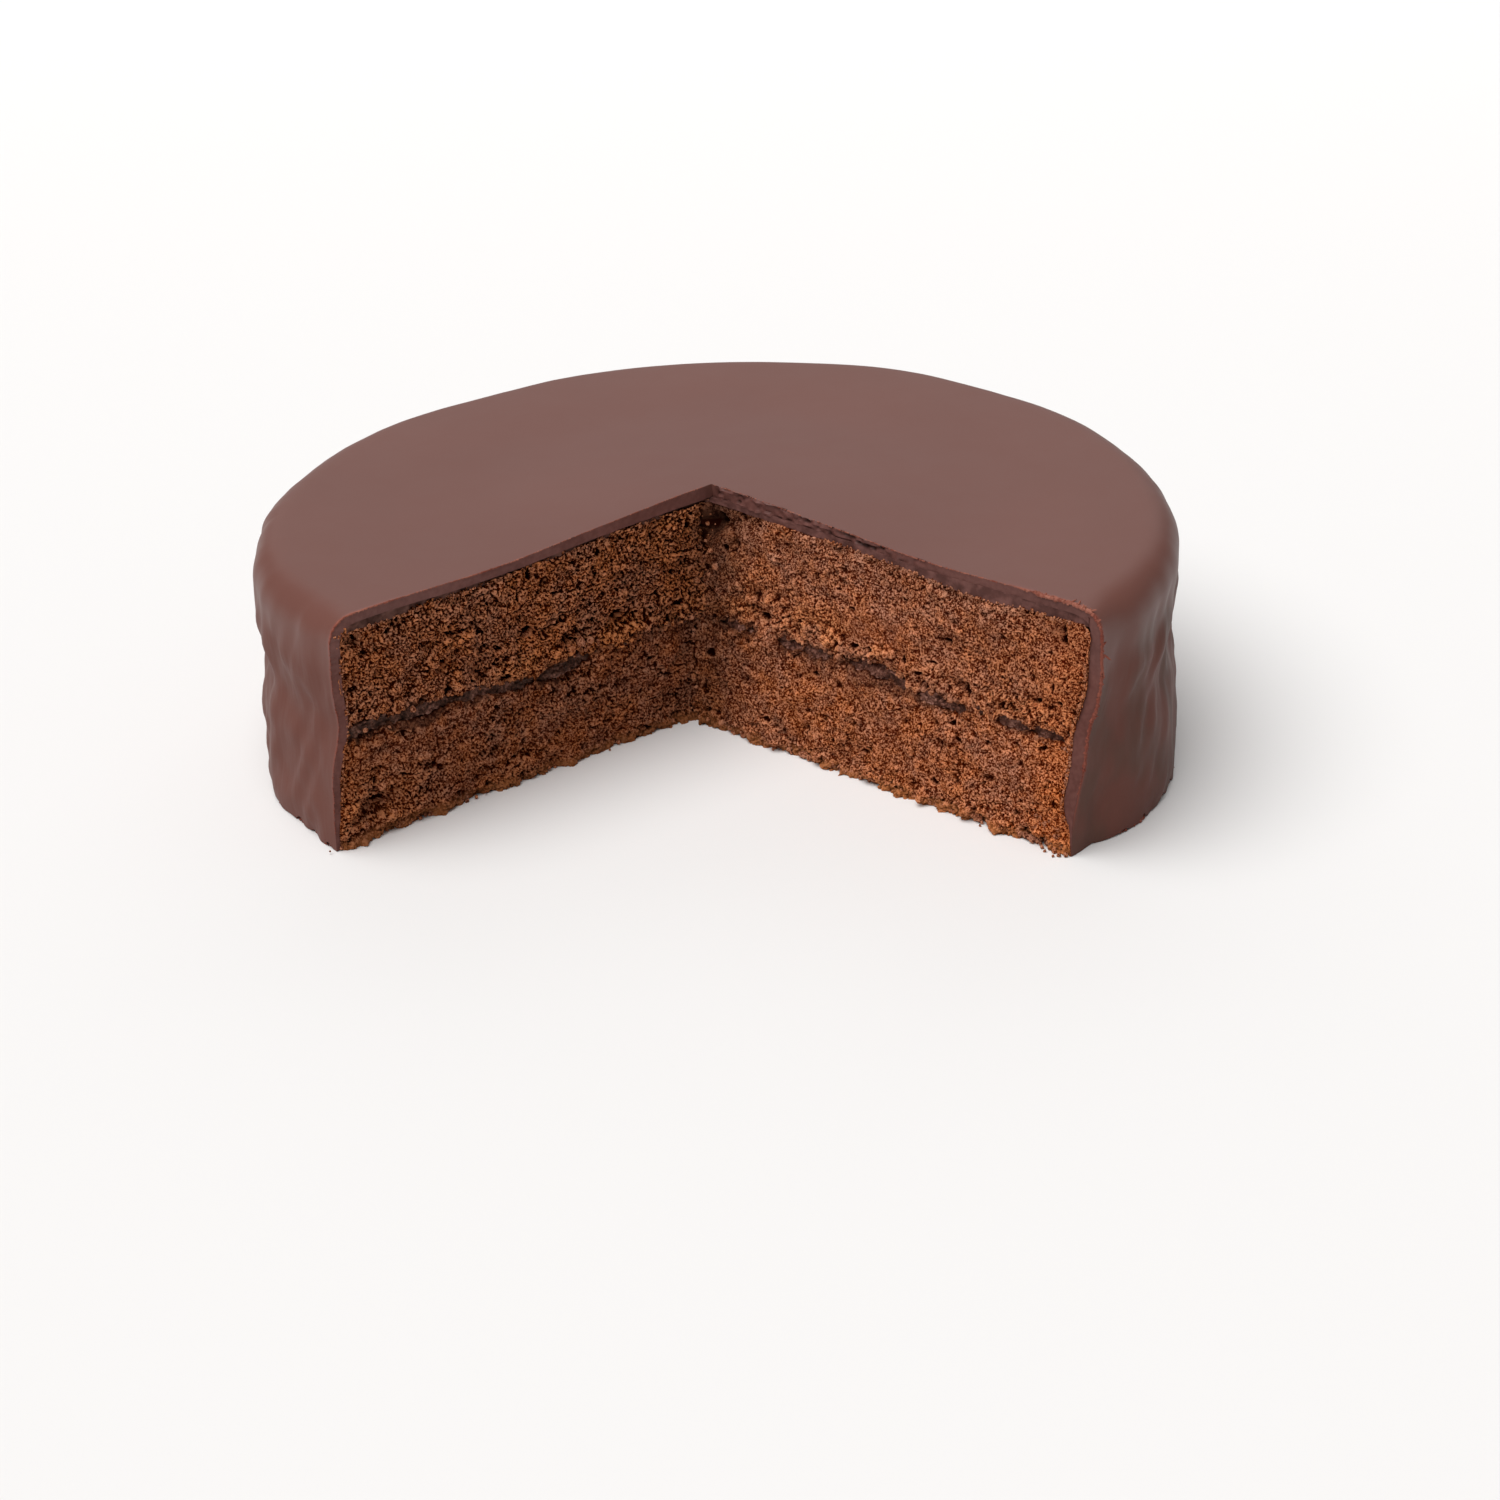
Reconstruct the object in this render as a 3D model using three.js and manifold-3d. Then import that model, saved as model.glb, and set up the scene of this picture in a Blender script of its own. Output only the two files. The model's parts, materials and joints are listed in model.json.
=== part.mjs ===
// A round chocolate layer cake with one wide slice cut out. Millimetres, +Z up.
// The sizes below are in the cake's own frame: its axis is Z, it stands on z = 0
// and the cut opens towards -Y. The group's origin is the middle of its footprint.

import * as THREE from "three";
import { mergeVertices } from "three/addons/utils/BufferGeometryUtils.js";
import Module from "manifold-3d";

const wasm = await Module();
wasm.setup();

// Whole cake, over the glaze
const cakeRadius = 115;
const cakeHeight = 64.7;
const riseToRight = 0.017; // the top climbs this much for each millimetre towards +X
const riseToBack = 0.0053;
const shoulderRadius = 8.3;
const centreRise = 1.1; // the top is a little higher at the middle
const centreSpread = 25;
const dishDepth = 1.1; // and dips in a ring half way out
const dishRadius = 66;
const dishSpread = 22;

// Waves of the outline seen from above: how many round the rim, size, angle of a crest
const rimWaves = [
  { count: 2, size: 2.83, crest: -12.5 },
  { count: 3, size: 1.86, crest: -46 },
];
const rimRipples = [
  { count: 8, size: 0.25, crest: 12 },
  { count: 13, size: 0.25, crest: 5 },
];
const footFlare = 1.2; // the foot is wider than the rim
const footOval = 1.45; // more so at the left and right
const footToRight = 0.6; // and a little more at the right
const footRounding = { depth: 0.5, height: 4 };
// The right corner draws in at its foot
const cornerTuck = { depth: 6.8, angle: -42, spread: 11, middle: 8, height: 23 };
const waist = { depth: 1.7, height: 34, spread: 7.5 }; // where the two sponges meet
const sideRipple = { depth: 0.4, count: 9, climb: 17 };

// Layers
const glazeOnTop = 2.5;
const glazeAtCentre = 1.1; // extra, where it ran together
const glazeOnSide = 2.5;
const glazeSideToRight = 0.7; // extra at +X, less at -X
const glazeFootThinning = 0.4; // share lost at the foot
const footThinningHeight = 9;
const glazeClearance = 0.4; // above the table
const coatDepth = 1.0;
const coatHeap = { size: 1.0, x: -84, y: -60, spread: 18 }; // jam gathered at the left corner
const coatInset = 3.2; // it ends this far inside the glaze's wall
const fillingHeight = 30;
const fillingDepth = 3;
const fillingSags = [
  { size: -2.4, x: -44, y: -28, spread: 16 },
  { size: 1.2, x: -82, y: -60, spread: 14 },
  { size: -1.4, x: 55, y: -47, spread: 12 },
  { size: 1.0, x: 38, y: -30, spread: 11 },
];
const coreShoulder = shoulderRadius - glazeOnTop;
const layerGap = 0.3;

// The cut: two nearly upright faces that meet in an edge near the axis
const edgeFoot = new THREE.Vector2(-9.1, 5.1);
const edgeTop = new THREE.Vector2(-2.1, 8.0);
const leftFace = { footAngle: -140.3, topAngle: -139.5, side: -1 };
const rightFace = { footAngle: -41.2, topAngle: -44.2, side: 1 };
const faceReach = 138;
const openingRadius = 165;
const cutBottom = -6;
const cutTop = 75;
const crumbCell = 3.7; // grid of the torn crumb
const smoothCell = 8; // and of the cleaner cut through glaze and jam

// Torn crumb of a cut face, as depths into the cake
const crumbWaves = [
  { cell: 9, size: 0.75 },
  { cell: 4.2, size: 0.75 },
];
const smoothWaves = [{ cell: 14, size: 0.25 }];
const footTear = { size: 1.1, cell: 6, height: 2.5 };
const fillingRecess = { depth: 1.0, spread: 2.6 };

// Larger holes: distance out from the inner edge, height, half width, half height, depth
const leftHoles = [
  { along: 110, up: 56, wide: 2.4, tall: 2.2, deep: 3.5 },
  { along: 101, up: 9, wide: 5, tall: 3, deep: 3.2 },
  { along: 82, up: 41, wide: 2.6, tall: 2.2, deep: 2.8 },
  { along: 72, up: 37, wide: 2.4, tall: 2.6, deep: 3 },
  { along: 57, up: 42, wide: 4, tall: 2, deep: 3.2 },
  { along: 44, up: 37, wide: 3, tall: 2, deep: 2.6 },
  { along: 27, up: 37.5, wide: 4.5, tall: 2, deep: 3.4 },
];
const rightHoles = [
  { along: 114, up: 56, wide: 1.8, tall: 4, deep: 3.6 },
  { along: 109, up: 37.5, wide: 2.2, tall: 2.2, deep: 3 },
  { along: 86, up: 35, wide: 4, tall: 2.2, deep: 3.6 },
  { along: 80, up: 45, wide: 2.4, tall: 1.8, deep: 2.4 },
  { along: 58, up: 32.5, wide: 5, tall: 1.6, deep: 2 },
  { along: 39, up: 23, wide: 2.8, tall: 1.8, deep: 2.2 },
  { along: 21, up: 35.5, wide: 3.4, tall: 2.2, deep: 3 },
  { along: 3, up: 56, wide: 4, tall: 3, deep: 3.5 },
];

// Facets
const outerSegments = 72;
const innerSegments = 48;
const bedRadii = [openingRadius, 106, 88, 70, 50, 26, 0];

const degrees = Math.PI / 180;
const lerp = THREE.MathUtils.lerp;
const bell = (distance, spread) => Math.exp(-((distance / spread) ** 2));
const bump = (spot, x, y) => spot.size * bell(Math.hypot(x - spot.x, y - spot.y), spot.spread);

// ---- The shape of the whole cake

function wavesAt(waves, angle) {
  return waves.reduce((sum, w) => sum + w.size * Math.cos(w.count * (angle - w.crest * degrees)), 0);
}

function angleBetween(a, b) {
  return Math.abs(Math.atan2(Math.sin(a - b), Math.cos(a - b)));
}

function rimRadius(angle) {
  return cakeRadius + wavesAt(rimWaves, angle);
}

function footRadius(angle) {
  return rimRadius(angle) + footFlare + footOval * Math.cos(2 * angle) + footToRight * Math.cos(angle);
}

function tuckDepth(angle, z) {
  const aside = angleBetween(angle, cornerTuck.angle * degrees) / degrees;
  const level = bell(z - cornerTuck.middle, cornerTuck.height);
  return cornerTuck.depth * bell(aside, cornerTuck.spread) * level;
}

// Radius of the side at a height, without the small ripples
function sideRadius(angle, z) {
  const rise = THREE.MathUtils.clamp(z / cakeHeight, 0, 1);
  const straight = lerp(footRadius(angle), rimRadius(angle), rise);
  const hollow = waist.depth * bell(z - waist.height, waist.spread) + tuckDepth(angle, z);
  return straight - hollow - footRounding.depth * bell(z, footRounding.height);
}

function ripples(angle, z) {
  const slanting = Math.sin(sideRipple.count * angle + z / sideRipple.climb);
  return wavesAt(rimRipples, angle) + sideRipple.depth * slanting;
}

function topHeight(x, y) {
  const out = Math.hypot(x, y);
  const crown = centreRise * bell(out, centreSpread) - dishDepth * bell(out - dishRadius, dishSpread);
  return cakeHeight + riseToRight * x + riseToBack * y + crown;
}

function glazeUnderside(x, y) {
  return topHeight(x, y) - glazeOnTop - glazeAtCentre * bell(Math.hypot(x, y), centreSpread);
}

function sideGlaze(angle, z) {
  const full = glazeOnSide + glazeSideToRight * Math.cos(angle);
  return full * (1 - glazeFootThinning * bell(Math.max(z, 0), footThinningHeight));
}

function coatUnderside(x, y) {
  return glazeUnderside(x, y) - layerGap - coatDepth - bump(coatHeap, x, y);
}

function fillingMiddle(x, y) {
  return fillingHeight + fillingSags.reduce((sum, s) => sum + bump(s, x, y), 0);
}

// ---- Round bodies: a lathe whose rings are moved to the cake's real outline

const polar = (radius, angle) => [radius * Math.cos(angle), radius * Math.sin(angle)];

// Each ring is a function of the angle that gives [radius, height function or height].
function roundBody(rings, segments) {
  const nominal = rings.map((ring) => {
    const [radius, height] = ring(0);
    return new THREE.Vector2(radius, typeof height === "function" ? height(radius, 0) : height);
  });
  const geometry = new THREE.LatheGeometry(nominal, segments);
  const position = geometry.attributes.position;
  for (let i = 0; i < position.count; i++) {
    const step = Math.floor(i / rings.length) % segments;
    const angle = (step / segments) * 2 * Math.PI - Math.PI / 2;
    const [radius, height] = rings[i % rings.length](angle);
    const [x, y] = polar(radius, angle);
    position.setXYZ(i, x, y, typeof height === "function" ? height(x, y) : height);
  }
  return solidOf(geometry);
}

// Rings of a flat-lying surface, from the axis outwards
function discRings(fractions, edge, height) {
  return fractions.map((fraction) => (angle) => [fraction * edge(angle), height]);
}

// Rings of a quarter-round shoulder, from the side up to the top. Its centre lies
// inset from the edge and below the crown.
function shoulderRings(steps, edge, inset, radius, crown) {
  return Array.from({ length: steps + 1 }, (_, k) => (angle) => {
    const turn = ((k / steps) * Math.PI) / 2;
    const centre = edge(angle) - inset;
    const height = crown(...polar(edge(angle), angle)) - inset + radius * Math.sin(turn);
    return [centre + radius * Math.cos(turn), height];
  });
}

const sideRings = (heights, radius) => heights.map((z) => (angle) => [radius(angle, z), z]);

function outerShape() {
  const side = (angle, z) => sideRadius(angle, z) + ripples(angle, z);
  const edge = (angle) => side(angle, cakeHeight);
  const flat = (angle) => edge(angle) - shoulderRadius;
  return roundBody(
    [
      () => [0, glazeClearance],
      ...sideRings([glazeClearance, 3, 8, 16, 25, 30, 34, 38, 46], side),
      ...shoulderRings(4, edge, shoulderRadius, shoulderRadius, topHeight),
      ...discRings([0.88, 0.7, 0.5, 0.3, 0.12, 0], flat, topHeight),
    ],
    outerSegments,
  );
}

// What the glaze encloses, kept off its wall by a clearance
function coreShape(bottom, clear) {
  const wall = (angle, z) => sideRadius(angle, z) - sideGlaze(angle, z);
  const side = (angle, z) => wall(angle, z) - clear;
  const edge = (angle) => wall(angle, cakeHeight);
  const flat = (angle) => edge(angle) - coreShoulder;
  const top = (x, y) => glazeUnderside(x, y) - clear;
  return roundBody(
    [
      () => [0, bottom],
      (angle) => [side(angle, 0), bottom],
      ...sideRings([0.01, 3, 8, 16, 25, 30, 34, 38, 46], side),
      ...shoulderRings(3, edge, coreShoulder, coreShoulder - clear, glazeUnderside),
      ...discRings([0.84, 0.64, 0.42, 0.2, 0], flat, top),
    ],
    innerSegments,
  );
}

// Everything under a surface. Two of these a gap apart have parallel facets.
function below(surface) {
  const foot = () => [0, cutBottom];
  const corner = () => [openingRadius, cutBottom];
  return roundBody([foot, corner, ...discRings(bedRadii, () => 1, surface)], innerSegments);
}

function within(inset) {
  const edge = (angle) => sideRadius(angle, cakeHeight) - sideGlaze(angle, cakeHeight) - inset;
  const ends = [() => [0, cutBottom], (angle) => [edge(angle), cutBottom]];
  return roundBody([...ends, (angle) => [edge(angle), cutTop], () => [0, cutTop]], innerSegments);
}

// ---- The cut

// Repeatable random number from 0 to 1 for a grid point
function grain(i, j, key) {
  const wave = Math.sin(i * 127.1 + j * 311.7 + key * 74.7) * 43758.5453;
  return wave - Math.floor(wave);
}

// Smooth noise from -1 to 1
function noise(x, y, key) {
  const i = Math.floor(x);
  const j = Math.floor(y);
  const ease = (t) => t * t * (3 - 2 * t);
  const low = lerp(grain(i, j, key), grain(i + 1, j, key), ease(x - i));
  const high = lerp(grain(i, j + 1, key), grain(i + 1, j + 1, key), ease(x - i));
  return 2 * lerp(low, high, ease(y - j)) - 1;
}

function roughness(waves, side, along, up) {
  return waves.reduce((sum, w) => sum + w.size * noise(along / w.cell, up / w.cell, w.cell + side), 0);
}

function crumbDepth(face, along, up, x, y) {
  const holes = face === leftFace ? leftHoles : rightHoles;
  const pit = (h) => h.deep * bell(along - h.along, h.wide) * bell(up - h.up, h.tall);
  const pits = holes.reduce((sum, h) => sum + pit(h), 0);
  const tear = footTear.size * noise(along / footTear.cell, face.side, 5);
  const tears = tear * bell(Math.max(up, 0), footTear.height);
  const recess = fillingRecess.depth * bell(up - fillingMiddle(x, y), fillingRecess.spread);
  return roughness(crumbWaves, face.side, along, up) + pits + tears + recess;
}

function smoothDepth(face, along, up) {
  return roughness(smoothWaves, face.side, along, up);
}

const faceAngle = (face, rise) => lerp(face.footAngle, face.topAngle, rise) * degrees;

// A point of a cut face, pushed into the cake by the depth there
function facePoint(face, along, up, depthAt) {
  const rise = up / cakeHeight;
  const edge = edgeFoot.clone().lerp(edgeTop, rise);
  const angle = faceAngle(face, rise);
  const [dx, dy] = polar(along, angle);
  const inward = new THREE.Vector2(-Math.sin(angle), Math.cos(angle)).multiplyScalar(face.side);
  const point = new THREE.Vector2(edge.x + dx, edge.y + dy);
  return point.addScaledVector(inward, depthAt(face, along, up, point.x, point.y));
}

// The missing slice, as an extruded wedge whose two walls carry the relief of the faces
function missingSlice(depthAt, cell) {
  const outline = new THREE.Shape();
  const stops = Math.round(faceReach / cell);
  const stop = (k, face) => polar((k * faceReach) / stops, face.footAngle * degrees);
  outline.moveTo(0, 0);
  for (let k = 1; k <= stops; k++) outline.lineTo(...stop(k, rightFace));
  for (let turn = -50; turn > -135; turn -= 10) {
    outline.lineTo(...polar(openingRadius, turn * degrees));
  }
  for (let k = stops; k >= 1; k--) outline.lineTo(...stop(k, leftFace));
  const depth = cutTop - cutBottom;
  const geometry = new THREE.ExtrudeGeometry(outline, {
    depth,
    steps: Math.round(depth / cell),
    bevelEnabled: false,
  });
  const position = geometry.attributes.position;
  for (let i = 0; i < position.count; i++) {
    const along = Math.hypot(position.getX(i), position.getY(i));
    const up = position.getZ(i) + cutBottom;
    position.setZ(i, up);
    if (along > faceReach + 1) continue;
    const point = wallPoint(position.getX(i), along, up, depthAt);
    position.setXY(i, point.x, point.y);
  }
  return solidOf(geometry);
}

// The two faces share their inner edge, which takes the mean of both.
function wallPoint(x, along, up, depthAt) {
  const inside = up > -1 && up < topHeight(0, 0) + 3;
  const relief = inside ? depthAt : () => 0;
  if (along > 0.01) return facePoint(x < 0 ? leftFace : rightFace, along, up, relief);
  const left = facePoint(leftFace, 0, up, relief);
  return left.lerp(facePoint(rightFace, 0, up, relief), 0.5);
}

// ---- Solids and meshes

function solidOf(geometry) {
  geometry.deleteAttribute("normal");
  geometry.deleteAttribute("uv");
  const merged = mergeVertices(geometry, 1e-3);
  return new wasm.Manifold(
    new wasm.Mesh({
      numProp: 3,
      vertProperties: merged.attributes.position.array,
      triVerts: new Uint32Array(merged.index.array),
    }),
  );
}

function meshOf(name, solid, material) {
  const { vertProperties, triVerts } = solid.getMesh();
  const geometry = new THREE.BufferGeometry();
  geometry.setAttribute("position", new THREE.BufferAttribute(vertProperties, 3));
  geometry.setIndex(new THREE.BufferAttribute(triVerts, 1));
  const finish = new THREE.MeshStandardMaterial({ metalness: 0, flatShading: true, ...material });
  const mesh = new THREE.Mesh(geometry, finish);
  mesh.name = name;
  return mesh;
}

const tornSlice = missingSlice(crumbDepth, crumbCell);
const smoothSlice = missingSlice(smoothDepth, smoothCell);
const core = coreShape(0, layerGap);
const fillingTo = (offset) => below((x, y) => fillingMiddle(x, y) + offset);
const coatTo = (offset) => below((x, y) => coatUnderside(x, y) + offset);
const halfFilling = fillingDepth / 2;
const between = (under, limit) => core.intersect(limit).subtract(under);

const solids = {
  sponge_lower: core.intersect(fillingTo(-halfFilling - layerGap)).subtract(tornSlice),
  jam_filling: between(fillingTo(-halfFilling), fillingTo(halfFilling)).subtract(tornSlice),
  sponge_upper: between(fillingTo(halfFilling + layerGap), coatTo(-layerGap)).subtract(tornSlice),
  jam_coat: between(coatTo(0), within(coatInset)).subtract(smoothSlice),
  glaze: outerShape().subtract(coreShape(-2, 0)).subtract(smoothSlice),
};

const finishes = {
  sponge_lower: { color: 0x7d4a31, roughness: 0.95 },
  jam_filling: { color: 0x3f2a24, roughness: 0.35 },
  sponge_upper: { color: 0x7d4a31, roughness: 0.95 },
  jam_coat: { color: 0x4d372f, roughness: 0.4 },
  glaze: { color: 0x6b4640, roughness: 0.4 },
};

const cake = new THREE.Group();
for (const [name, solid] of Object.entries(solids)) cake.add(meshOf(name, solid, finishes[name]));

// The origin is under the middle of the cake's box.
const middle = new THREE.Box3().setFromObject(cake).getCenter(new THREE.Vector3());
cake.position.set(-middle.x, -middle.y, 0);

const group = new THREE.Group();
group.add(cake);

export default group;
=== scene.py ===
import json
import math
import random

import bpy
import numpy as np
from mathutils import Matrix, Vector


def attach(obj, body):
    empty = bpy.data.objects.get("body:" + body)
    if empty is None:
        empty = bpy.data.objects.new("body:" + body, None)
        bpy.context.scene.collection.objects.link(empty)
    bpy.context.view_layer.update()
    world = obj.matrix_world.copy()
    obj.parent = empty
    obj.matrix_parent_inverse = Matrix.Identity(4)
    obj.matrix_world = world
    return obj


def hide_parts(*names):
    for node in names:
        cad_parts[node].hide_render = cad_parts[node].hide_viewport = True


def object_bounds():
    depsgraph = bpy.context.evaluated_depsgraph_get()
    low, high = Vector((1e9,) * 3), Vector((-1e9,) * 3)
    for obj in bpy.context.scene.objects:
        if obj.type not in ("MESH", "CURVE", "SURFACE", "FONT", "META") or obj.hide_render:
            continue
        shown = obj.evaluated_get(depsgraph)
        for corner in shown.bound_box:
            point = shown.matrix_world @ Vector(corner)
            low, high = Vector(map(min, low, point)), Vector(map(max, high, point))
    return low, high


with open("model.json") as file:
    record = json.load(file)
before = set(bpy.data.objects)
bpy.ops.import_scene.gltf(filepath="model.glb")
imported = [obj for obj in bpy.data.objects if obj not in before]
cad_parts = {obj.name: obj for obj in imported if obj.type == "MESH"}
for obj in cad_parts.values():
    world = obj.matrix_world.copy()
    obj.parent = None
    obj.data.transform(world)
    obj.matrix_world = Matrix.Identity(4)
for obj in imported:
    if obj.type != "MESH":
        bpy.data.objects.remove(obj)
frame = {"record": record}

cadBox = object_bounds()
mm = 0.001
baseBehindAxis = 40  # the base mount of the record lies this far behind the cake's axis
basePlace = frame["record"]["mounts"][0]["pos_m"]
axisPlace = np.array([basePlace[0], basePlace[1] - baseBehindAxis * mm, 0.0])

# The whole cake in millimetres round its axis. Waves are (how many, size, angle of a crest).
wholeCake = {
    "radius": 115,
    "height": 64.7,
    "riseToRight": 0.017,
    "riseToBack": 0.0053,
    "shoulder": 8.3,
    "centreRise": 1.1,
    "centreSpread": 25,
    "dishDepth": 1.1,
    "dishRadius": 66,
    "dishSpread": 22,
    "rimWaves": [(2, 2.83, -12.5), (3, 1.86, -46)],
    "rimRipples": [(8, 0.25, 12), (13, 0.25, 5)],
    "footFlare": 1.2,
    "footOval": 1.45,
    "footToRight": 0.6,
    "footRounding": 0.5,
    "footRoundingHeight": 4,
    "tuckDepth": 6.8,
    "tuckAngle": -42,
    "tuckSpread": 11,
    "tuckMiddle": 8,
    "tuckHeight": 23,
    "waistDepth": 1.7,
    "waistHeight": 34,
    "waistSpread": 7.5,
    "swelling": (1.2, -138, 6, 21, 6),
    "rippleDepth": 0.4,
    "rippleCount": 9,
    "rippleClimb": 17,
}

# The layers, and the two faces of the cut that meet in a leaning edge near the axis
layers = {
    "glazeOnTop": 2.5,
    "glazeAtCentre": 1.1,
    "glazeOnSide": 2.5,
    "glazeSideToRight": 0.7,
    "footThinning": 0.4,
    "footThinningHeight": 9,
    "footFullness": (0.4, 6),
    "cornerThinning": 0.8,
    "cornerSpread": 3.2,
    "cornerThinBelow": (5, 13),
    "sideFullness": (0.85, -140, 25, 18, 42),
    "coatDepth": 1.0,
    "coatGap": 0.3,
    "coatHeaps": [(1.0, -84, -60, 18), (1.9, 63.1, -55.4, 14), (0.9, 80, -72, 9)],
    "coatInset": 1.8,
    "insetOnRight": 0.2,
    "coatWallTop": 55,
    "coatOverlap": 0.4,
    "spongeRises": (-7.0, -5.0),
    "fillingHeight": 30,
    "fillingDepth": 3,
    "fillingSags": [(-2.4, -44, -28, 16), (1.2, -82, -60, 14), (-1.4, 55, -47, 12), (1.0, 38, -30, 11)],
    "touch": 0.06,
}
cut = {
    "edgeFoot": (-9.1, 5.1),
    "edgeTop": (-2.1, 8.0),
    "leftAngles": (-140.3, -139.5),
    "rightAngles": (-41.2, -44.2),
    "firstReach": 110.0,
    "reachRounds": 8,
    # depth, where along the right face it starts and is full, height of its middle, spread
    "cornerEase": (0.85, 108, 118, 50, 17),
}
faceSign = {"left": -1, "right": 1}


def bell(distance, spread):
    return np.exp(-((distance / spread) ** 2))


def mixed(a, b, share):
    return a + (b - a) * share


def smoothStep(low, high, value):
    t = np.clip((value - low) / (high - low), 0, 1)
    return t * t * (3 - 2 * t)


def wavesAt(waves, angle):
    return sum(size * np.cos(count * (angle - math.radians(crest))) for count, size, crest in waves)


def degreesFrom(place, angle):
    return np.degrees(np.arccos(np.cos(angle - math.radians(place))))


def rimRadius(angle):
    return wholeCake["radius"] + wavesAt(wholeCake["rimWaves"], angle)


def footRadius(angle):
    wide = wholeCake["footFlare"] + wholeCake["footOval"] * np.cos(2 * angle)
    return rimRadius(angle) + wide + wholeCake["footToRight"] * np.cos(angle)


def plainRadius(angle, z):
    c = wholeCake
    straight = mixed(footRadius(angle), rimRadius(angle), np.clip(z / c["height"], 0, 1))
    tuck = c["tuckDepth"] * bell(degreesFrom(c["tuckAngle"], angle), c["tuckSpread"])
    tuck = tuck * bell(z - c["tuckMiddle"], c["tuckHeight"])
    waist = c["waistDepth"] * bell(z - c["waistHeight"], c["waistSpread"])
    depth, place, spread, middle, height = c["swelling"]
    straight = straight + depth * bell(degreesFrom(place, angle), spread) * bell(z - middle, height)
    return straight - tuck - waist - c["footRounding"] * bell(z, c["footRoundingHeight"])


def outerRadius(angle, z):
    c = wholeCake
    slanting = c["rippleDepth"] * np.sin(c["rippleCount"] * angle + z / c["rippleClimb"])
    return plainRadius(angle, z) + wavesAt(c["rimRipples"], angle) + slanting


def topHeight(x, y):
    c = wholeCake
    out = np.hypot(x, y)
    crown = c["centreRise"] * bell(out, c["centreSpread"])
    dish = c["dishDepth"] * bell(out - c["dishRadius"], c["dishSpread"])
    return c["height"] + c["riseToRight"] * x + c["riseToBack"] * y + crown - dish


def glazeOnTop(x, y):
    return layers["glazeOnTop"] + layers["glazeAtCentre"] * bell(np.hypot(x, y), wholeCake["centreSpread"])


def glazeOnSide(angle, z):
    full = layers["glazeOnSide"] + layers["glazeSideToRight"] * np.cos(angle)
    # it runs out above the foot of the right-hand corner
    bare = layers["cornerThinning"] * bell(degreesFrom(wholeCake["tuckAngle"], angle), layers["cornerSpread"])
    bare = bare * (1 - smoothStep(*layers["cornerThinBelow"], z))
    # and it is fuller high on the left-hand corner
    size, place, spread, low, high = layers["sideFullness"]
    atFoot, height = layers["footFullness"]
    fuller = size * smoothStep(low, high, z) + atFoot * bell(z, height)
    full = full + bell(degreesFrom(place, angle), spread) * fuller
    thinning = layers["footThinning"] * bell(np.maximum(z, 0), layers["footThinningHeight"])
    return full * (1 - thinning) * (1 - bare)


def glazeUnderside(x, y):
    return topHeight(x, y) - glazeOnTop(x, y)


def spotAt(spot, x, y):
    size, spotX, spotY, spread = spot
    return size * bell(np.hypot(x - spotX, y - spotY), spread)


def coatUnderside(x, y):
    heaps = sum(spotAt(heap, x, y) for heap in layers["coatHeaps"])
    return glazeUnderside(x, y) - layers["coatGap"] - layers["coatDepth"] - heaps


def fillingMiddle(x, y):
    return layers["fillingHeight"] + sum(spotAt(sag, x, y) for sag in layers["fillingSags"])


def fillingTop(x, y):
    return fillingMiddle(x, y) + layers["fillingDepth"] / 2


def fillingUnderside(x, y):
    return fillingMiddle(x, y) - layers["fillingDepth"] / 2


def coatTop(x, y):
    return glazeUnderside(x, y) + np.where(x > 0, layers["coatOverlap"], -layers["touch"])


# Radius of the body under the glaze: its wall, and above it the round of its shoulder
def coreRadius(angle, z):
    wall = plainRadius(angle, z) - glazeOnSide(angle, z) - layers["touch"]
    height = wholeCake["height"]
    edge = plainRadius(angle, height) - glazeOnSide(angle, height)
    shoulder = wholeCake["shoulder"] - layers["glazeOnTop"]
    centre = glazeUnderside(edge * np.cos(angle), edge * np.sin(angle)) - shoulder
    bend = np.sqrt(np.maximum(shoulder**2 - np.maximum(z - centre, 0) ** 2, 0))
    return np.where(z > centre, edge - shoulder + bend - layers["touch"], wall)


def cutEdge(z):
    rise = z / wholeCake["height"]
    return [mixed(foot, top, rise) for foot, top in zip(cut["edgeFoot"], cut["edgeTop"])]


def faceAngle(name, z):
    return np.radians(mixed(*cut[name], z / wholeCake["height"]))


# How far a line from the cut's inner edge runs until it meets a round wall
def reachTo(radiusAt, angle, z):
    edgeX, edgeY = cutEdge(z)
    reach = np.full(np.broadcast(angle, z).shape, cut["firstReach"])
    for _ in range(cut["reachRounds"]):
        x, y = edgeX + reach * np.cos(angle), edgeY + reach * np.sin(angle)
        reach = reach + radiusAt(np.arctan2(y, x), z) - np.hypot(x, y)
    return reach


# Repeatable noise from -1 to 1 on a grid, the one that the solids' cut faces have
def gridNoise(x, y, key):
    i, j = np.floor(x), np.floor(y)

    def grain(a, b):
        wave = np.sin(a * 127.1 + b * 311.7 + key * 74.7) * 43758.5453
        return wave - np.floor(wave)

    tx, ty = (t * t * (3 - 2 * t) for t in (x - i, y - j))
    low = mixed(grain(i, j), grain(i + 1, j), tx)
    high = mixed(grain(i, j + 1), grain(i + 1, j + 1), tx)
    return 2 * mixed(low, high, ty) - 1


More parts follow.
